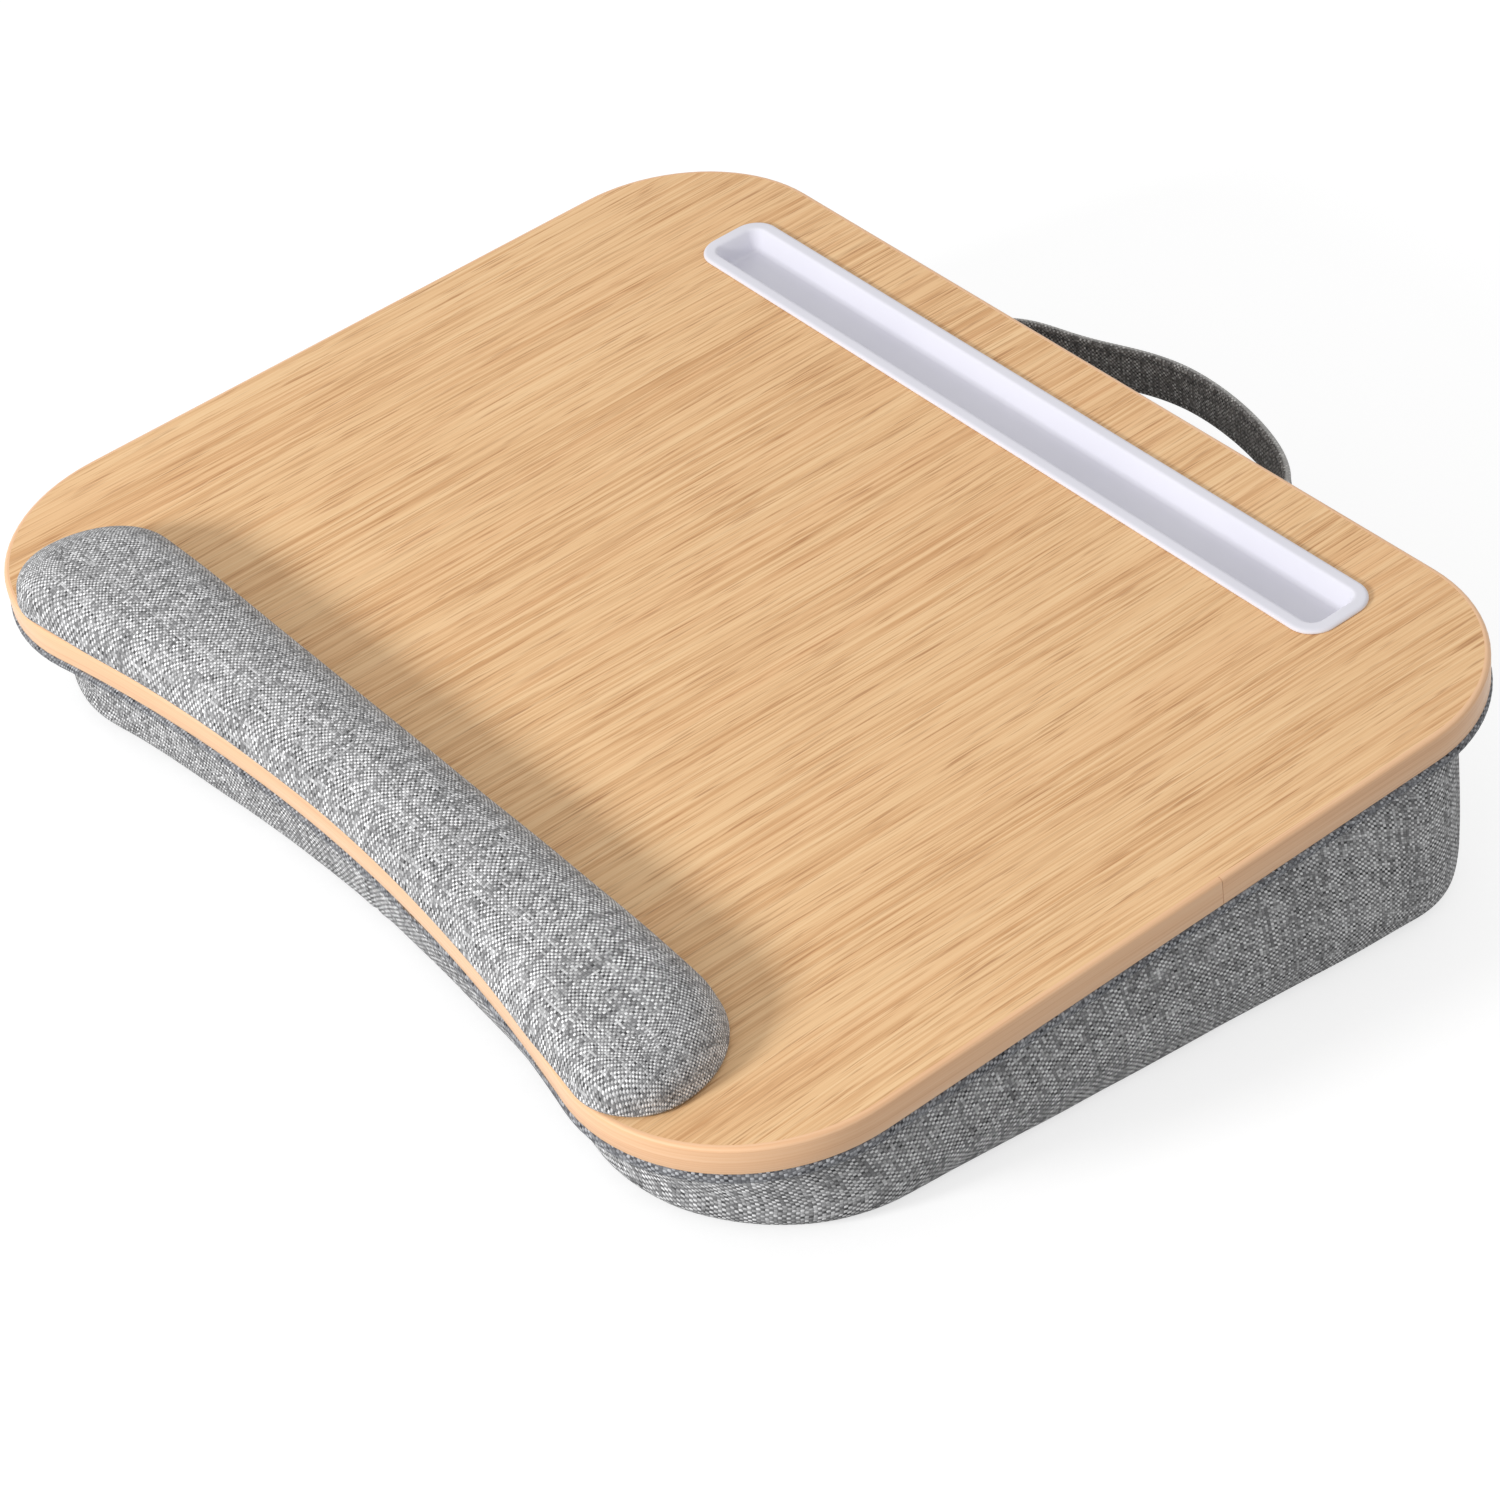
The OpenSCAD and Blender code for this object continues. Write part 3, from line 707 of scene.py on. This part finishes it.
cushion = {
    "topInset": 10.0,
    "sideInset": 7.0,
    "frontInset": 9.0,
    "backInset": 13.0,
    "backR": 46.0,
    "frontR": 61.0,
    "sag": 13.6,
    "round": 12.0,
    "footPower": 4.0,  # 2 is a round foot, more is squarer
    "slack": 1.4,  # how much smaller the cover starts before it is filled
    "lift": 0.9,  # of the cover's foot
    "swell": 0.6,
    "fill": 3.2,
    "under": -14.2,
    "seamDip": 0.9,  # of the butt seam in the wall's front
    "seamLip": 0.35,
    "foamSkin": 6.5,  # from the wall to the foam
    "foamLift": 3.6,
    "foamSwell": 0.4,
}
footWide = board["width"] - 2 * cushion["sideInset"]
footDeep = (board["depth"] - cushion["frontInset"] - cushion["backInset"]) / math.cos(slope)
footY = board["height"] * math.tan(slope)
footY += (cushion["frontInset"] - cushion["backInset"]) / (2 * math.cos(slope))
footShape = {
    "half": footWide / 2,
    "backY": footDeep / 2,
    "backR": cushion["backR"],
    "frontR": cushion["frontR"],
    "hollow": hollowOf(footWide, footDeep, cushion["frontR"], cushion["sag"]),
}


def footRing(cut, z):
    return raised(outline(footShape, cut), z) + [0, footY, 0]


def wallRing(share, skin, swell=1.6):
    out = swell * 4 * share * (1 - share)
    head = boardRing(cushion["topInset"] + skin - out, cushion["under"])
    return head * (1 - share) + footRing(skin - out, cushion["round"]) * share


def cushionGrid(skin, low, swell, steps=13):
    turn = cushion["round"]
    seam = footRing(turn + 1.0, low)
    middle = np.array([0, footY, low])
    rings = [middle + (seam - middle) * s for s in (0.06, 0.25, 0.45, 0.65, 0.82, 0.94)]
    rings.append(seam)
    for a in np.radians(np.linspace(90, 12, 7)):
        c, s = (max(v, 0) ** (2 / cushion["footPower"]) for v in (math.cos(a), math.sin(a)))
        rings.append(footRing(skin + (turn - skin) * (1 - c), turn - (turn - low) * s))
    first = len(rings)
    rings += [wallRing(s, skin, swell) for s in np.linspace(1, 0, steps)]
    last = len(rings)
    roof = boardRing(cushion["topInset"] + skin, cushion["under"])
    middle = onBoard([0, 0, cushion["under"]])
    rings += [middle + (roof - middle) * s for s in (0.94, 0.82, 0.65, 0.45, 0.25, 0.06)]
    return np.array(rings), first, last


def filled(grid, sewn, amount, pressure=4.0):
    # fills a coarser copy of a cover, whose rings in sewn stay put, and carries what it moved
    # back to the fine one
    count = grid.shape[1]
    columns = np.arange(0, count, 2)
    coarse = grid[:, columns]
    rings, size = coarse.shape[:2]
    pattern = cutCaps(gridMesh("coverPattern", coarse, finishes["wall"]))
    held = np.concatenate([np.arange(size) + size * (k % rings) for k in sewn])
    inflate(pattern, held, amount, pressure)
    moved = (coordsOf(pattern) / mm).reshape(rings, size, 3) - coarse
    bpy.data.objects.remove(pattern)
    wide = np.concatenate([moved, moved[:, :1]], 1)
    at = np.concatenate([columns, [count]])
    fine = np.zeros_like(grid)
    for k in range(rings):
        for axis in range(3):
            fine[k, :, axis] = np.interp(np.arange(count), at, wide[k, :, axis])
    return grid + fine


def cushionCover():
    grid, first, last = cushionGrid(cushion["slack"], cushion["lift"], cushion["swell"])
    count = grid.shape[1]
    seam = first - 8  # the ring that is sewn to the bottom cloth
    grid[seam:last] = filled(grid[seam:last], (0, -1), cushion["fill"])
    cover = gridMesh("cushionCover", grid, finishes["wall"])
    points = coordsOf(cover)
    soft = np.zeros(len(points))
    soft[(seam + 1) * count:(last - 1) * count] = 1.0
    push = soft * (rippled(points, 0.055, 11) * 0.7 + rippled(points, 0.02, 3) * 0.25)
    # the gusset's two ends meet in a butt seam at the front
    atFront = (points[:, 1] < -0.1) * soft
    x = points[:, 0] / mm
    lip = cushion["seamLip"] * np.exp(-((np.abs(x) - 3.2) / 1.8) ** 2)
    push += atFront * (-cushion["seamDip"] * np.exp(-(x / 0.8) ** 2) + lip)
    points += normalsOf(cover) * push[:, None] * mm
    points[:, 2] = np.maximum(points[:, 2], 0.45 * mm)
    setCoords(cover, points)
    subdivided(cutCaps(cover))
    standsFor(cover, "cushion_gusset")


def cushionInside():
    grid = cushionGrid(cushion["foamSkin"], cushion["foamLift"], cushion["foamSwell"], 7)[0]
    foam = gridMesh("cushionFoam", grid, finishes["foam"])
    points = coordsOf(foam)
    up = np.array([0, -math.sin(slope), math.cos(slope)])
    level = (points / mm - onBoard([0, 0, 0])) @ up
    points -= np.clip(level - (cushion["under"] - 0.8), 0, None)[:, None] * up * mm
    points += normalsOf(foam) * (rippled(points, 0.03, 5) * 0.4 * mm)[:, None]
    setCoords(foam, points)
    standsFor(foam, "cushion_foam")


cushionCover()
cushionInside()
print("cushion filled")


def tubeAlong(name, path, out, radius, finish, flat):
    # a flattened tube along a closed path; out points away from the wall that it lies on
    ahead = np.roll(path, -1, 0) - np.roll(path, 1, 0)
    ahead /= np.linalg.norm(ahead, axis=1, keepdims=True)
    side = np.cross(ahead, out)
    side /= np.linalg.norm(side, axis=1, keepdims=True)
    lift = np.cross(side, ahead)
    rings = []
    for a in np.linspace(0, math.tau, 8, endpoint=False):
        rings.append(path + side * (math.cos(a) * radius) + lift * (math.sin(a) * radius * flat))
    return gridMesh(name, rings, finish, stacked=True, caps="")


# Stitches: one small shape is set along a line at an even pitch, turned to the line and to the
# cloth. These are the inputs of its node tree.
stitch = {"Pitch": 3.2, "Stitch Length": 2.3, "Stitch Width": 0.6, "Stitch Height": 0.42}


def stitchTree():
    tree = bpy.data.node_groups.new("stitchLine", "GeometryNodeTree")

    def socket(name, kind, start=None, way="INPUT"):
        made = tree.interface.new_socket(name=name, in_out=way, socket_type="NodeSocket" + kind)
        if start is not None:
            made.default_value = start

    def add(kind, values=None, **settings):
        # one node; a value is a number or another node's socket
        made = tree.nodes.new(kind)
        for key, value in settings.items():
            setattr(made, key, value)
        for key, value in (values or {}).items():
            if isinstance(value, bpy.types.NodeSocket):
                tree.links.new(value, made.inputs[key])
            else:
                made.inputs[key].default_value = value
        return made.outputs

    socket("Geometry", "Geometry")
    for name, start in stitch.items():
        socket(name, "Float", start * mm)
    socket("Unevenness", "Float", 0.08)
    socket("Seed", "Int", 7)
    socket("Thread", "Material")
    socket("Geometry", "Geometry", way="OUTPUT")
    source = add("NodeGroupInput")
    curve = add("GeometryNodeMeshToCurve", {"Mesh": source["Geometry"]})
    even = add("GeometryNodeResampleCurve", {"Curve": curve["Curve"], "Length": source["Pitch"]},
               mode="LENGTH")
    tangent = add("GeometryNodeInputTangent")
    along = add("FunctionNodeAlignRotationToVector", {"Vector": tangent[0]}, axis="X")
    outward = add("GeometryNodeInputNamedAttribute", {"Name": "out"}, data_type="FLOAT_VECTOR")
    upright = add("FunctionNodeAlignRotationToVector",
                  {"Rotation": along[0], "Vector": outward["Attribute"]}, axis="Z", pivot_axis="X")
    bead = add("GeometryNodeMeshUVSphere", {"Segments": 6, "Rings": 5, "Radius": 0.5})
    turn = add("GeometryNodeTransform", {"Geometry": bead["Mesh"], "Rotation": (0, math.pi / 2, 0)})
    size = add("ShaderNodeCombineXYZ", {0: source["Stitch Length"], 1: source["Stitch Width"],
                                        2: source["Stitch Height"]})
    chance = add("FunctionNodeRandomValue", {"Seed": source["Seed"]}, data_type="FLOAT")
    spread = add("ShaderNodeMath", {0: chance[1], 1: source["Unevenness"], 2: 0.95},
                 operation="MULTIPLY_ADD")
    sized = add("ShaderNodeVectorMath", {0: size[0], "Scale": spread[0]}, operation="SCALE")
    dots = add("GeometryNodeInstanceOnPoints", {
        "Points": even["Curve"], "Instance": turn["Geometry"], "Rotation": upright[0],
        "Scale": sized[0]})
    real = add("GeometryNodeRealizeInstances", {"Geometry": dots["Instances"]})
    paint = add("GeometryNodeSetMaterial",
                {"Geometry": real["Geometry"], "Material": source["Thread"]})
    add("NodeGroupOutput", {"Geometry": paint["Geometry"]})
    return tree


stitchNodes = stitchTree()


def stitched(name, lines, finish, **sizes):
    # lines is a list of (points, outward directions, closed), in millimetres
    mesh = bpy.data.meshes.new(name)
    points, outs, edges = [], [], []
    for line, out, closed in lines:
        start, count = len(points), len(line)
        points += [tuple(np.asarray(p) * mm) for p in line]
        outs += [tuple(o) for o in out]
        steps = range(count if closed else count - 1)
        edges += [(start + i, start + (i + 1) % count) for i in steps]
    mesh.from_pydata(points, edges, [])
    layer = mesh.attributes.new("out", "FLOAT_VECTOR", "POINT")
    layer.data.foreach_set("vector", np.asarray(outs, np.float32).ravel())
    made = placed(name, mesh)
    sewing = made.modifiers.new("sewing", "NODES")
    sewing.node_group = stitchNodes
    keys = {item.name: item.identifier for item in stitchNodes.interface.items_tree
            if item.in_out == "INPUT"}
    values = {**stitch, **{key.replace("_", " "): value for key, value in sizes.items()}}
    for label, value in values.items():
        sewing[keys[label]] = value * mm
    sewing[keys["Thread"]] = finish
    applied(made)
    made.data.shade_smooth()
    return made


def outwardOf(ring):
    # level direction away from the middle, square to a closed ring
    ahead = np.roll(ring, -1, 0) - np.roll(ring, 1, 0)
    out = np.stack([ahead[:, 1], -ahead[:, 0], np.zeros(len(ring))], 1)
    return out / np.linalg.norm(out, axis=1, keepdims=True)


def cushionSeams():
    head, low = wallRing(0, 0), wallRing(0.25, 0)
    drop = (low - head) / np.linalg.norm(low - head, axis=1, keepdims=True)
    out = outwardOf(head)
    welt = tubeAlong("topSeam", head + drop + out * 0.35, out, 0.85, finishes["panel"], 0.6)
    line = head + drop * 1.2 + out * 0.95
    sewn = stitched("topStitches", [(line, out, True)], finishes["darkThread"])
    standsFor(welt, "top_seam")
    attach(sewn, "desk")

    ring = footRing(cushion["round"] + 0.6, 0.75)
    down = np.broadcast_to([0.0, 0.0, -1.0], ring.shape)
    lip = tubeAlong("bottomSeam", ring, down, 0.9, finishes["wall"], 0.62)
    line = footRing(cushion["round"] + 3.2, 0.12)
    sewn = stitched("bottomStitches", [(line, down, True)], finishes["darkThread"],
                    Stitch_Height=0.2)
    standsFor(lip, "bottom_seam")
    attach(sewn, "desk")

    line = [wallRing(share, 0)[0] + [0, 0.35, 0] for share in np.linspace(0.14, 0.97, 12)]
    sewn = stitched("gussetStitches", [(line, [(0, -1, 0)] * 12, False)], finishes["darkThread"],
                    Stitch_Width=0.5)
    standsFor(sewn, "gusset_seam")


cushionSeams()


def bottomCloth():
    rim = footRing(cushion["round"] + 0.9, 0)
    middle = np.array([0, footY, 0.0])
    rings = []
    for share in (0.03, 0.2, 0.4, 0.6, 0.8, 0.9, 0.96, 0.985, 0.992, 1.0):
        ring = middle + (rim - middle) * share
        ring[:, 2] = 0.5 * max(0.0, (share - 0.985) / 0.015)
        rings.append(ring)
    grid = np.array(rings)
    uv = np.concatenate([grid, grid[:, :1]], 1)[..., :2]
    cloth = gridMesh("bottomCloth", grid[::-1], finishes["bottom"], caps="last", uv=uv[::-1])
    cloth.data.flip_normals()
    shell = cloth.modifiers.new("shell", "SOLIDIFY")
    shell.thickness, shell.offset = 0.4 * mm, -1
    applied(cloth)
    standsFor(cloth, "cushion_bottom")


bottomCloth()
print("seams sewn")

rest = {
    "sideInset": 38.5,
    "depth": 36.2,
    "gap": 1.0,
    "backR": 32.0,
    "frontR": 21.0,
    "height": 20.0,
    "belly": 3.5,
    "tuck": 0.9,
    "run": 17.0,
    "power": 2.3,
    "endDrop": 0.28,
    "endRun": 62.0,
    "overhang": 2.6,  # of the front, fading out from overhangEnd inwards
    "overhangEnd": 168.0,
    "overhangFade": 45.0,
    "draw": 4.0,
    "bendLeft": 2.0,
    "bendRight": 4.0,
    "slack": 1.1,
    "low": 0.2,
    "fill": 1.2,
    "pressure": 3.0,
    "foamSkin": 4.0,
    "foamLow": 2.7,
}
restShape = {
    "half": board["width"] / 2 - rest["sideInset"],
    "backR": rest["backR"],
    "frontR": rest["frontR"],
    "hollow": (boardShape["hollow"][0], boardShape["hollow"][1] + rest["gap"]),
}
restShape["backY"] = sum(restShape["hollow"]) + rest["depth"]


def restGrid(skin, low, steps=12):
    rings = []
    tuck, foot = rest["tuck"], max(skin - rest["slack"], 0)
    for cut, z in ((tuck + 2.5, low), (tuck, low + 0.05), (tuck * 0.4, (low + rest["belly"]) / 2)):
        rings.append(raised(outline(restShape, cut + foot), z))
    for k in range(steps + 1):
        a = math.radians(90 * k / steps)
        p = 2 / rest["power"]
        cut = (rest["run"] - skin) * (1 - math.cos(a) ** p) + skin
        rise = (rest["height"] - rest["belly"] - skin) * math.sin(a) ** p
        ring = outline(restShape, cut)
        past = np.abs(ring[:, 0]) - restShape["half"] + rest["endRun"]
        past = np.clip(past / rest["endRun"], 0, None)
        rings.append(raised(ring, rest["belly"] + rise * (1 - rest["endDrop"] * past ** 2)))
    grid = np.array(rings)
    # above its base the pad leans forward at both ends, and its left end is drawn in
    x, lift = grid[..., 0].copy(), np.clip((grid[..., 2] - 3) / 12, 0, 1)
    left, right = (np.clip((side * x - 105) / 70, 0, 1.2) ** 1.5 * lift for side in (-1, 1))
    grid[..., 0] += left * rest["draw"]
    grid[..., 1] -= left * rest["bendLeft"] + right * rest["bendRight"]
    return grid


def wristRest():
    grid = restGrid(rest["slack"], rest["low"])
    # the cloth's front stands out to the board's very edge
    out = outwardOf(grid[3])
    rise = np.clip(1 - (grid[:, :, 2:] - rest["belly"]) / (rest["height"] * 0.8), 0, 1)
    inner = np.clip((rest["overhangEnd"] - np.abs(grid[:, :, :1])) / rest["overhangFade"], 0, 1)
    grid += out[None] * np.clip(-out[None, :, 1:2], 0, 1) * rest["overhang"] * rise * inner
    grid = filled(grid, (0, 1), rest["fill"], rest["pressure"])
    cover = subdivided(cutCaps(gridMesh("wristCover", grid, finishes["rest"])))
    points, normals = coordsOf(cover) / mm, normalsOf(cover)
    # weave map: straight from above on top, and drawn down the sides
    drop = rest["height"] - points[:, 2]
    level = normals[:, :2] / np.maximum(np.linalg.norm(normals[:, :2], axis=1, keepdims=True), 0.35)
    facing = np.clip(-normals[:, 1], 0, 1)[:, None]
    flat = points[:, :2] + level * drop[:, None] * (1 - 0.55 * facing)
    corners = np.empty(len(cover.data.loops), np.int32)
    cover.data.loops.foreach_get("vertex_index", corners)
    for old in list(cover.data.uv_layers):
        cover.data.uv_layers.remove(old)
    layer = cover.data.uv_layers.new(name="unrolled")
    layer.data.foreach_set("uv", flat[corners].astype(np.float32).ravel())
    push = rippled(points * mm, 0.045, 21) * 0.3
    points += normals * push[:, None]
    points[:, 2] = np.maximum(points[:, 2], 0.12)
    setCoords(cover, onBoard(points) * mm)
    cover.data.shade_smooth()
    standsFor(cover, "wrist_cover")

    core = onBoard(restGrid(rest["foamSkin"], rest["foamLow"]))
    foam = cutCaps(gridMesh("wristFoam", core, finishes["foam"]))
    standsFor(foam, "wrist_foam")


wristRest()
print("wrist rest filled")

strap = {
    "width": 18.0,
    "thick": 3.2,
    "webbing": 15.0,
    "span": 156.0,
    "reach": 40.5,
    "spanPower": 1.8,
    "reachPower": 3.1,
    "drop": 31.5,
    "sag": 1.0,  # degrees by which the bow hangs lower at the left
    # how far the bow stands out of its plain curve, where, and over what width
    "dent": (-5.3, -42, 24.5),
    "bulge": (1.6, 13, 40),
    "legStart": 160.1,  # of the loop, behind the board's middle
    "wallY": 158.2,  # outer face of the sewn patches
    "fold": 3.0,  # radius where a leg turns on to its patch
    "tail": 8.0,
    "lean": 1.5,
    "stitchInset": 2.8,
    "bend": (162.5, 178.0),  # where the cloth starts and ends to turn with the strap
}


def strapPath():
    # plan of the strap from one sewn tail round the loop to the other, in the board's frame
    depth = board["depth"] / 2 + strap["reach"] - strap["thick"] / 2 - strap["legStart"]
    loop = []
    for a in np.radians(np.linspace(0, 180, 181)):
        c, s = math.cos(a), max(math.sin(a), 0.0)
        loop.append([math.copysign(abs(c) ** (2 / strap["spanPower"]), c) * strap["span"] / 2,
                     strap["legStart"] + depth * s ** (2 / strap["reachPower"])])
    loop = np.array(loop)
    for amount, at, wide in (strap["dent"], strap["bulge"]):
        loop[:, 1] += amount * np.exp(-((loop[:, 0] - at) / wide) ** 2)
    gaps = np.concatenate([[0], np.cumsum(np.linalg.norm(np.diff(loop, axis=0), axis=1))])
    even = np.linspace(0, gaps[-1], 76)
    loop = np.stack([np.interp(even, gaps, loop[:, i]) for i in (0, 1)], 1)
    half = strap["span"] / 2
    seat = strap["wallY"] + strap["thick"] * 0.5
    r = strap["fold"]
    turns = np.radians(np.linspace(0, 90, 7))
    turn = [[half + r * (1 - math.cos(a)), seat + r - r * math.sin(a)] for a in turns]
    tail = [[half + r + strap["tail"] * s, seat] for s in (0.25, 0.5, 0.75, 1.0)]
    start = np.array(turn + tail)[::-1]
    keep = loop[(loop[:, 1] > seat + r + 1.5)]
    return np.concatenate([start, keep, start[::-1] * [-1, 1]])


def strapSection():
    # (across the thickness, up the width), pinched where it is topstitched
    half, thick = strap["width"] / 2, strap["thick"] / 2
    side = []
    for up in half * np.sin(np.linspace(-90, 90, 29) * math.pi / 180):
        edge = abs(up) / half
        full = thick * (1 - edge ** 14) ** 0.5
        full -= 0.38 * math.exp(-((abs(up) - (half - strap["stitchInset"])) / 0.9) ** 2)
        side.append((max(full, 0.0), up))
    return np.array(side + [(-a, b) for a, b in side[-2:0:-1]])


def strapFrame():
    path = strapPath()
    ahead = np.gradient(path, axis=0)
    ahead /= np.linalg.norm(ahead, axis=1, keepdims=True)
    out = np.stack([ahead[:, 1], -ahead[:, 0]], 1)
    return path, out


def strapPoint(path, out, offset, up):
    free = np.clip((path[:, 1] - strap["wallY"] - 3) / 14, 0, 1)
    lean = (1 - free) * math.tan(math.radians(strap["lean"]))
    flat = path + out * offset
    level = up - strap["drop"] + free * flat[:, 0] * math.tan(math.radians(strap["sag"]))
    return onBoard(np.stack([flat[:, 0], flat[:, 1] - up * lean, level], 1))


def strapHandle():
    path, out = strapFrame()
    wave = np.array([noise.noise(Vector((p[0] * 0.02, p[1] * 0.02, 3.0))) for p in path])
    rings = [strapPoint(path, out, -side, up + wave * 0.5) for side, up in strapSection()]
    band = gridMesh("strapBand", rings, finishes["strap"], around=False, stacked=True,
                    caps="profile", sharp=60)
    lines = []
    free = slice(13, -13)
    row = strap["width"] / 2 - strap["stitchInset"]
    for up in (-row, row):
        for side in (-1, 1):
            line = strapPoint(path, out, side * (strap["thick"] / 2 - 0.3), up + wave * 0.5)
            outs = np.column_stack([out * side, np.zeros(len(out))])
            lines.append((line[free], outs[free], False))
    sewn = stitched("strapStitches", lines, finishes["darkThread"], Pitch=2.8, Stitch_Length=2.1,
                    Stitch_Width=0.45, Stitch_Height=0.35)
    tall = strap["webbing"] / 2
    corners = ((0.7, -tall), (0.7, tall), (-0.7, tall), (-0.7, -tall))
    webbing = [strapPoint(path, out, -side, up) for side, up in corners]
    inside = gridMesh("strapWebbing", webbing, finishes["webbing"], around=False,
                      stacked=True, caps="profile", sharp=30)
    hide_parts("strap_fabric")
    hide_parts("strap_webbing")
    for piece in (band, sewn, inside):
        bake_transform(piece)


patch = {
    "width": 18.0,
    "cornerR": 1.6,
    "aside": 3.0,  # of its middle, past the strap's leg
    "tilt": -0.0175,  # with the wall
    # (outset, level) of its rings, from its back to its face
    "profile": ((-3.0, -2.0), (-0.8, -2.0), (0.0, -1.4), (0.0, -0.6), (-0.5, -0.05), (-1.6, 0.0)),
    "tackShifts": (-4.5, 4.5),
    "tackHalf": 7,
    "zigzag": 0.6,
}


def strapPatches():
    # the sewn ends: a folded pad on the wall under each tail, with bar tacks
    lines = []
    for name, side in (("strapPatchLeft", -1), ("strapPatchRight", 1)):
        centre = side * (strap["span"] / 2 + patch["aside"])
        rings = []
        for grow, y in patch["profile"]:
            half, high = patch["width"] / 2 + grow, strap["width"] / 2 + grow
            across, up = roundRect(half, high, patch["cornerR"], 6).T
            back = strap["wallY"] + y + up * patch["tilt"]
            rings.append(np.column_stack([centre + across, back, up - strap["drop"]]))
        grid = onBoard(rings)[:, ::-1]
        pad = gridMesh(name, grid, finishes["strap"], sharp=60)
        standsFor(pad, "strap_anchors")
        for shift in patch["tackShifts"]:
            zig = []
            for k, z in enumerate(np.linspace(-patch["tackHalf"], patch["tackHalf"], 29)):
                sway = patch["zigzag"] if k % 2 else -patch["zigzag"]
                zig.append([centre + side * 2.0 + shift * 0.6 + sway,
                            strap["wallY"] + strap["thick"], z - strap["drop"]])
            lines.append((onBoard(zig), [(0, 1, 0)] * 29, False))
    sewn = stitched("barTacks", lines, finishes["thread"], Pitch=0.62, Stitch_Length=1.0,
                    Stitch_Width=0.42, Stitch_Height=0.36)
    standsFor(sewn, "strap_tacks")


strapHandle()
strapPatches()
print("strap made")

nodeFinishes = {
    "top_laminate": "wood",
    "board_core": "board",
    "backing_laminate": "backing",
    "wrist_tape": "tape",
    "wrist_base": "board",
    "backer_panel": "board",
    "panel_screws": "steel",
}
for node, finish in nodeFinishes.items():
    nodes[node].data.materials.clear()
    nodes[node].data.materials.append(finishes[finish])
print("board and inner pieces dressed")

studio = {
    "sky": 0.69,
    "keyPlace": (-0.1, -1.92, 0.66),  # low and straight ahead, 25 degrees above the sloping board
    "keySize": 0.42,
    "keyPower": 29.0,
    "floor": (0.45, 0.45, 0.45, 1.0),
    "floorLift": 0.68,  # seen by the camera and in reflections only
}


def lamp(name, place, size, power):
    data = bpy.data.lights.new(name, "AREA")
    data.shape, data.size, data.energy = "DISK", size, power
    light = placed(name, data)
    light.visible_glossy = False
    light.location = place
    light.rotation_mode = "QUATERNION"
    light.rotation_quaternion = (-Vector(place)).to_track_quat("-Z", "Y")


def makeStudio():
    scene = bpy.context.scene
    scene.view_settings.view_transform = "Standard"
    lamp("key", studio["keyPlace"], studio["keySize"], studio["keyPower"])
    # the camera and reflections see a plain white room, and the part is lit by a dimmer one
    sky = Finish("studio", "worlds", "Background", Color=(1, 1, 1, 1))
    seenInGloss = sky.ray("Glossy").math("MAXIMUM", sky.ray("Transmission"))
    white = sky.ray("Camera").math("MAXIMUM", seenInGloss)
    sky.set(Strength=sky.fit(white, 0.0, 1.0, studio["sky"], 1.0))
    scene.world = sky.material

    mesh = bpy.data.meshes.new("floor")
    corners = [(x, y, -0.0003) for x, y in ((-6, -6), (6, -6), (6, 6), (-6, 6))]
    mesh.from_pydata(corners, [], [(0, 1, 2, 3)])
    floor = placed("floor", mesh)
    paper = Finish("paper", Base_Color=studio["floor"], Roughness=0.9, Specular_IOR_Level=0.0,
                   Emission_Color=(1, 1, 1, 1))
    seenPlainly = paper.ray("Camera").math("MAXIMUM", paper.ray("Glossy"))
    paper.set(Emission_Strength=seenPlainly * studio["floorLift"])
    mesh.materials.append(paper.material)


makeStudio()
print("studio lit")
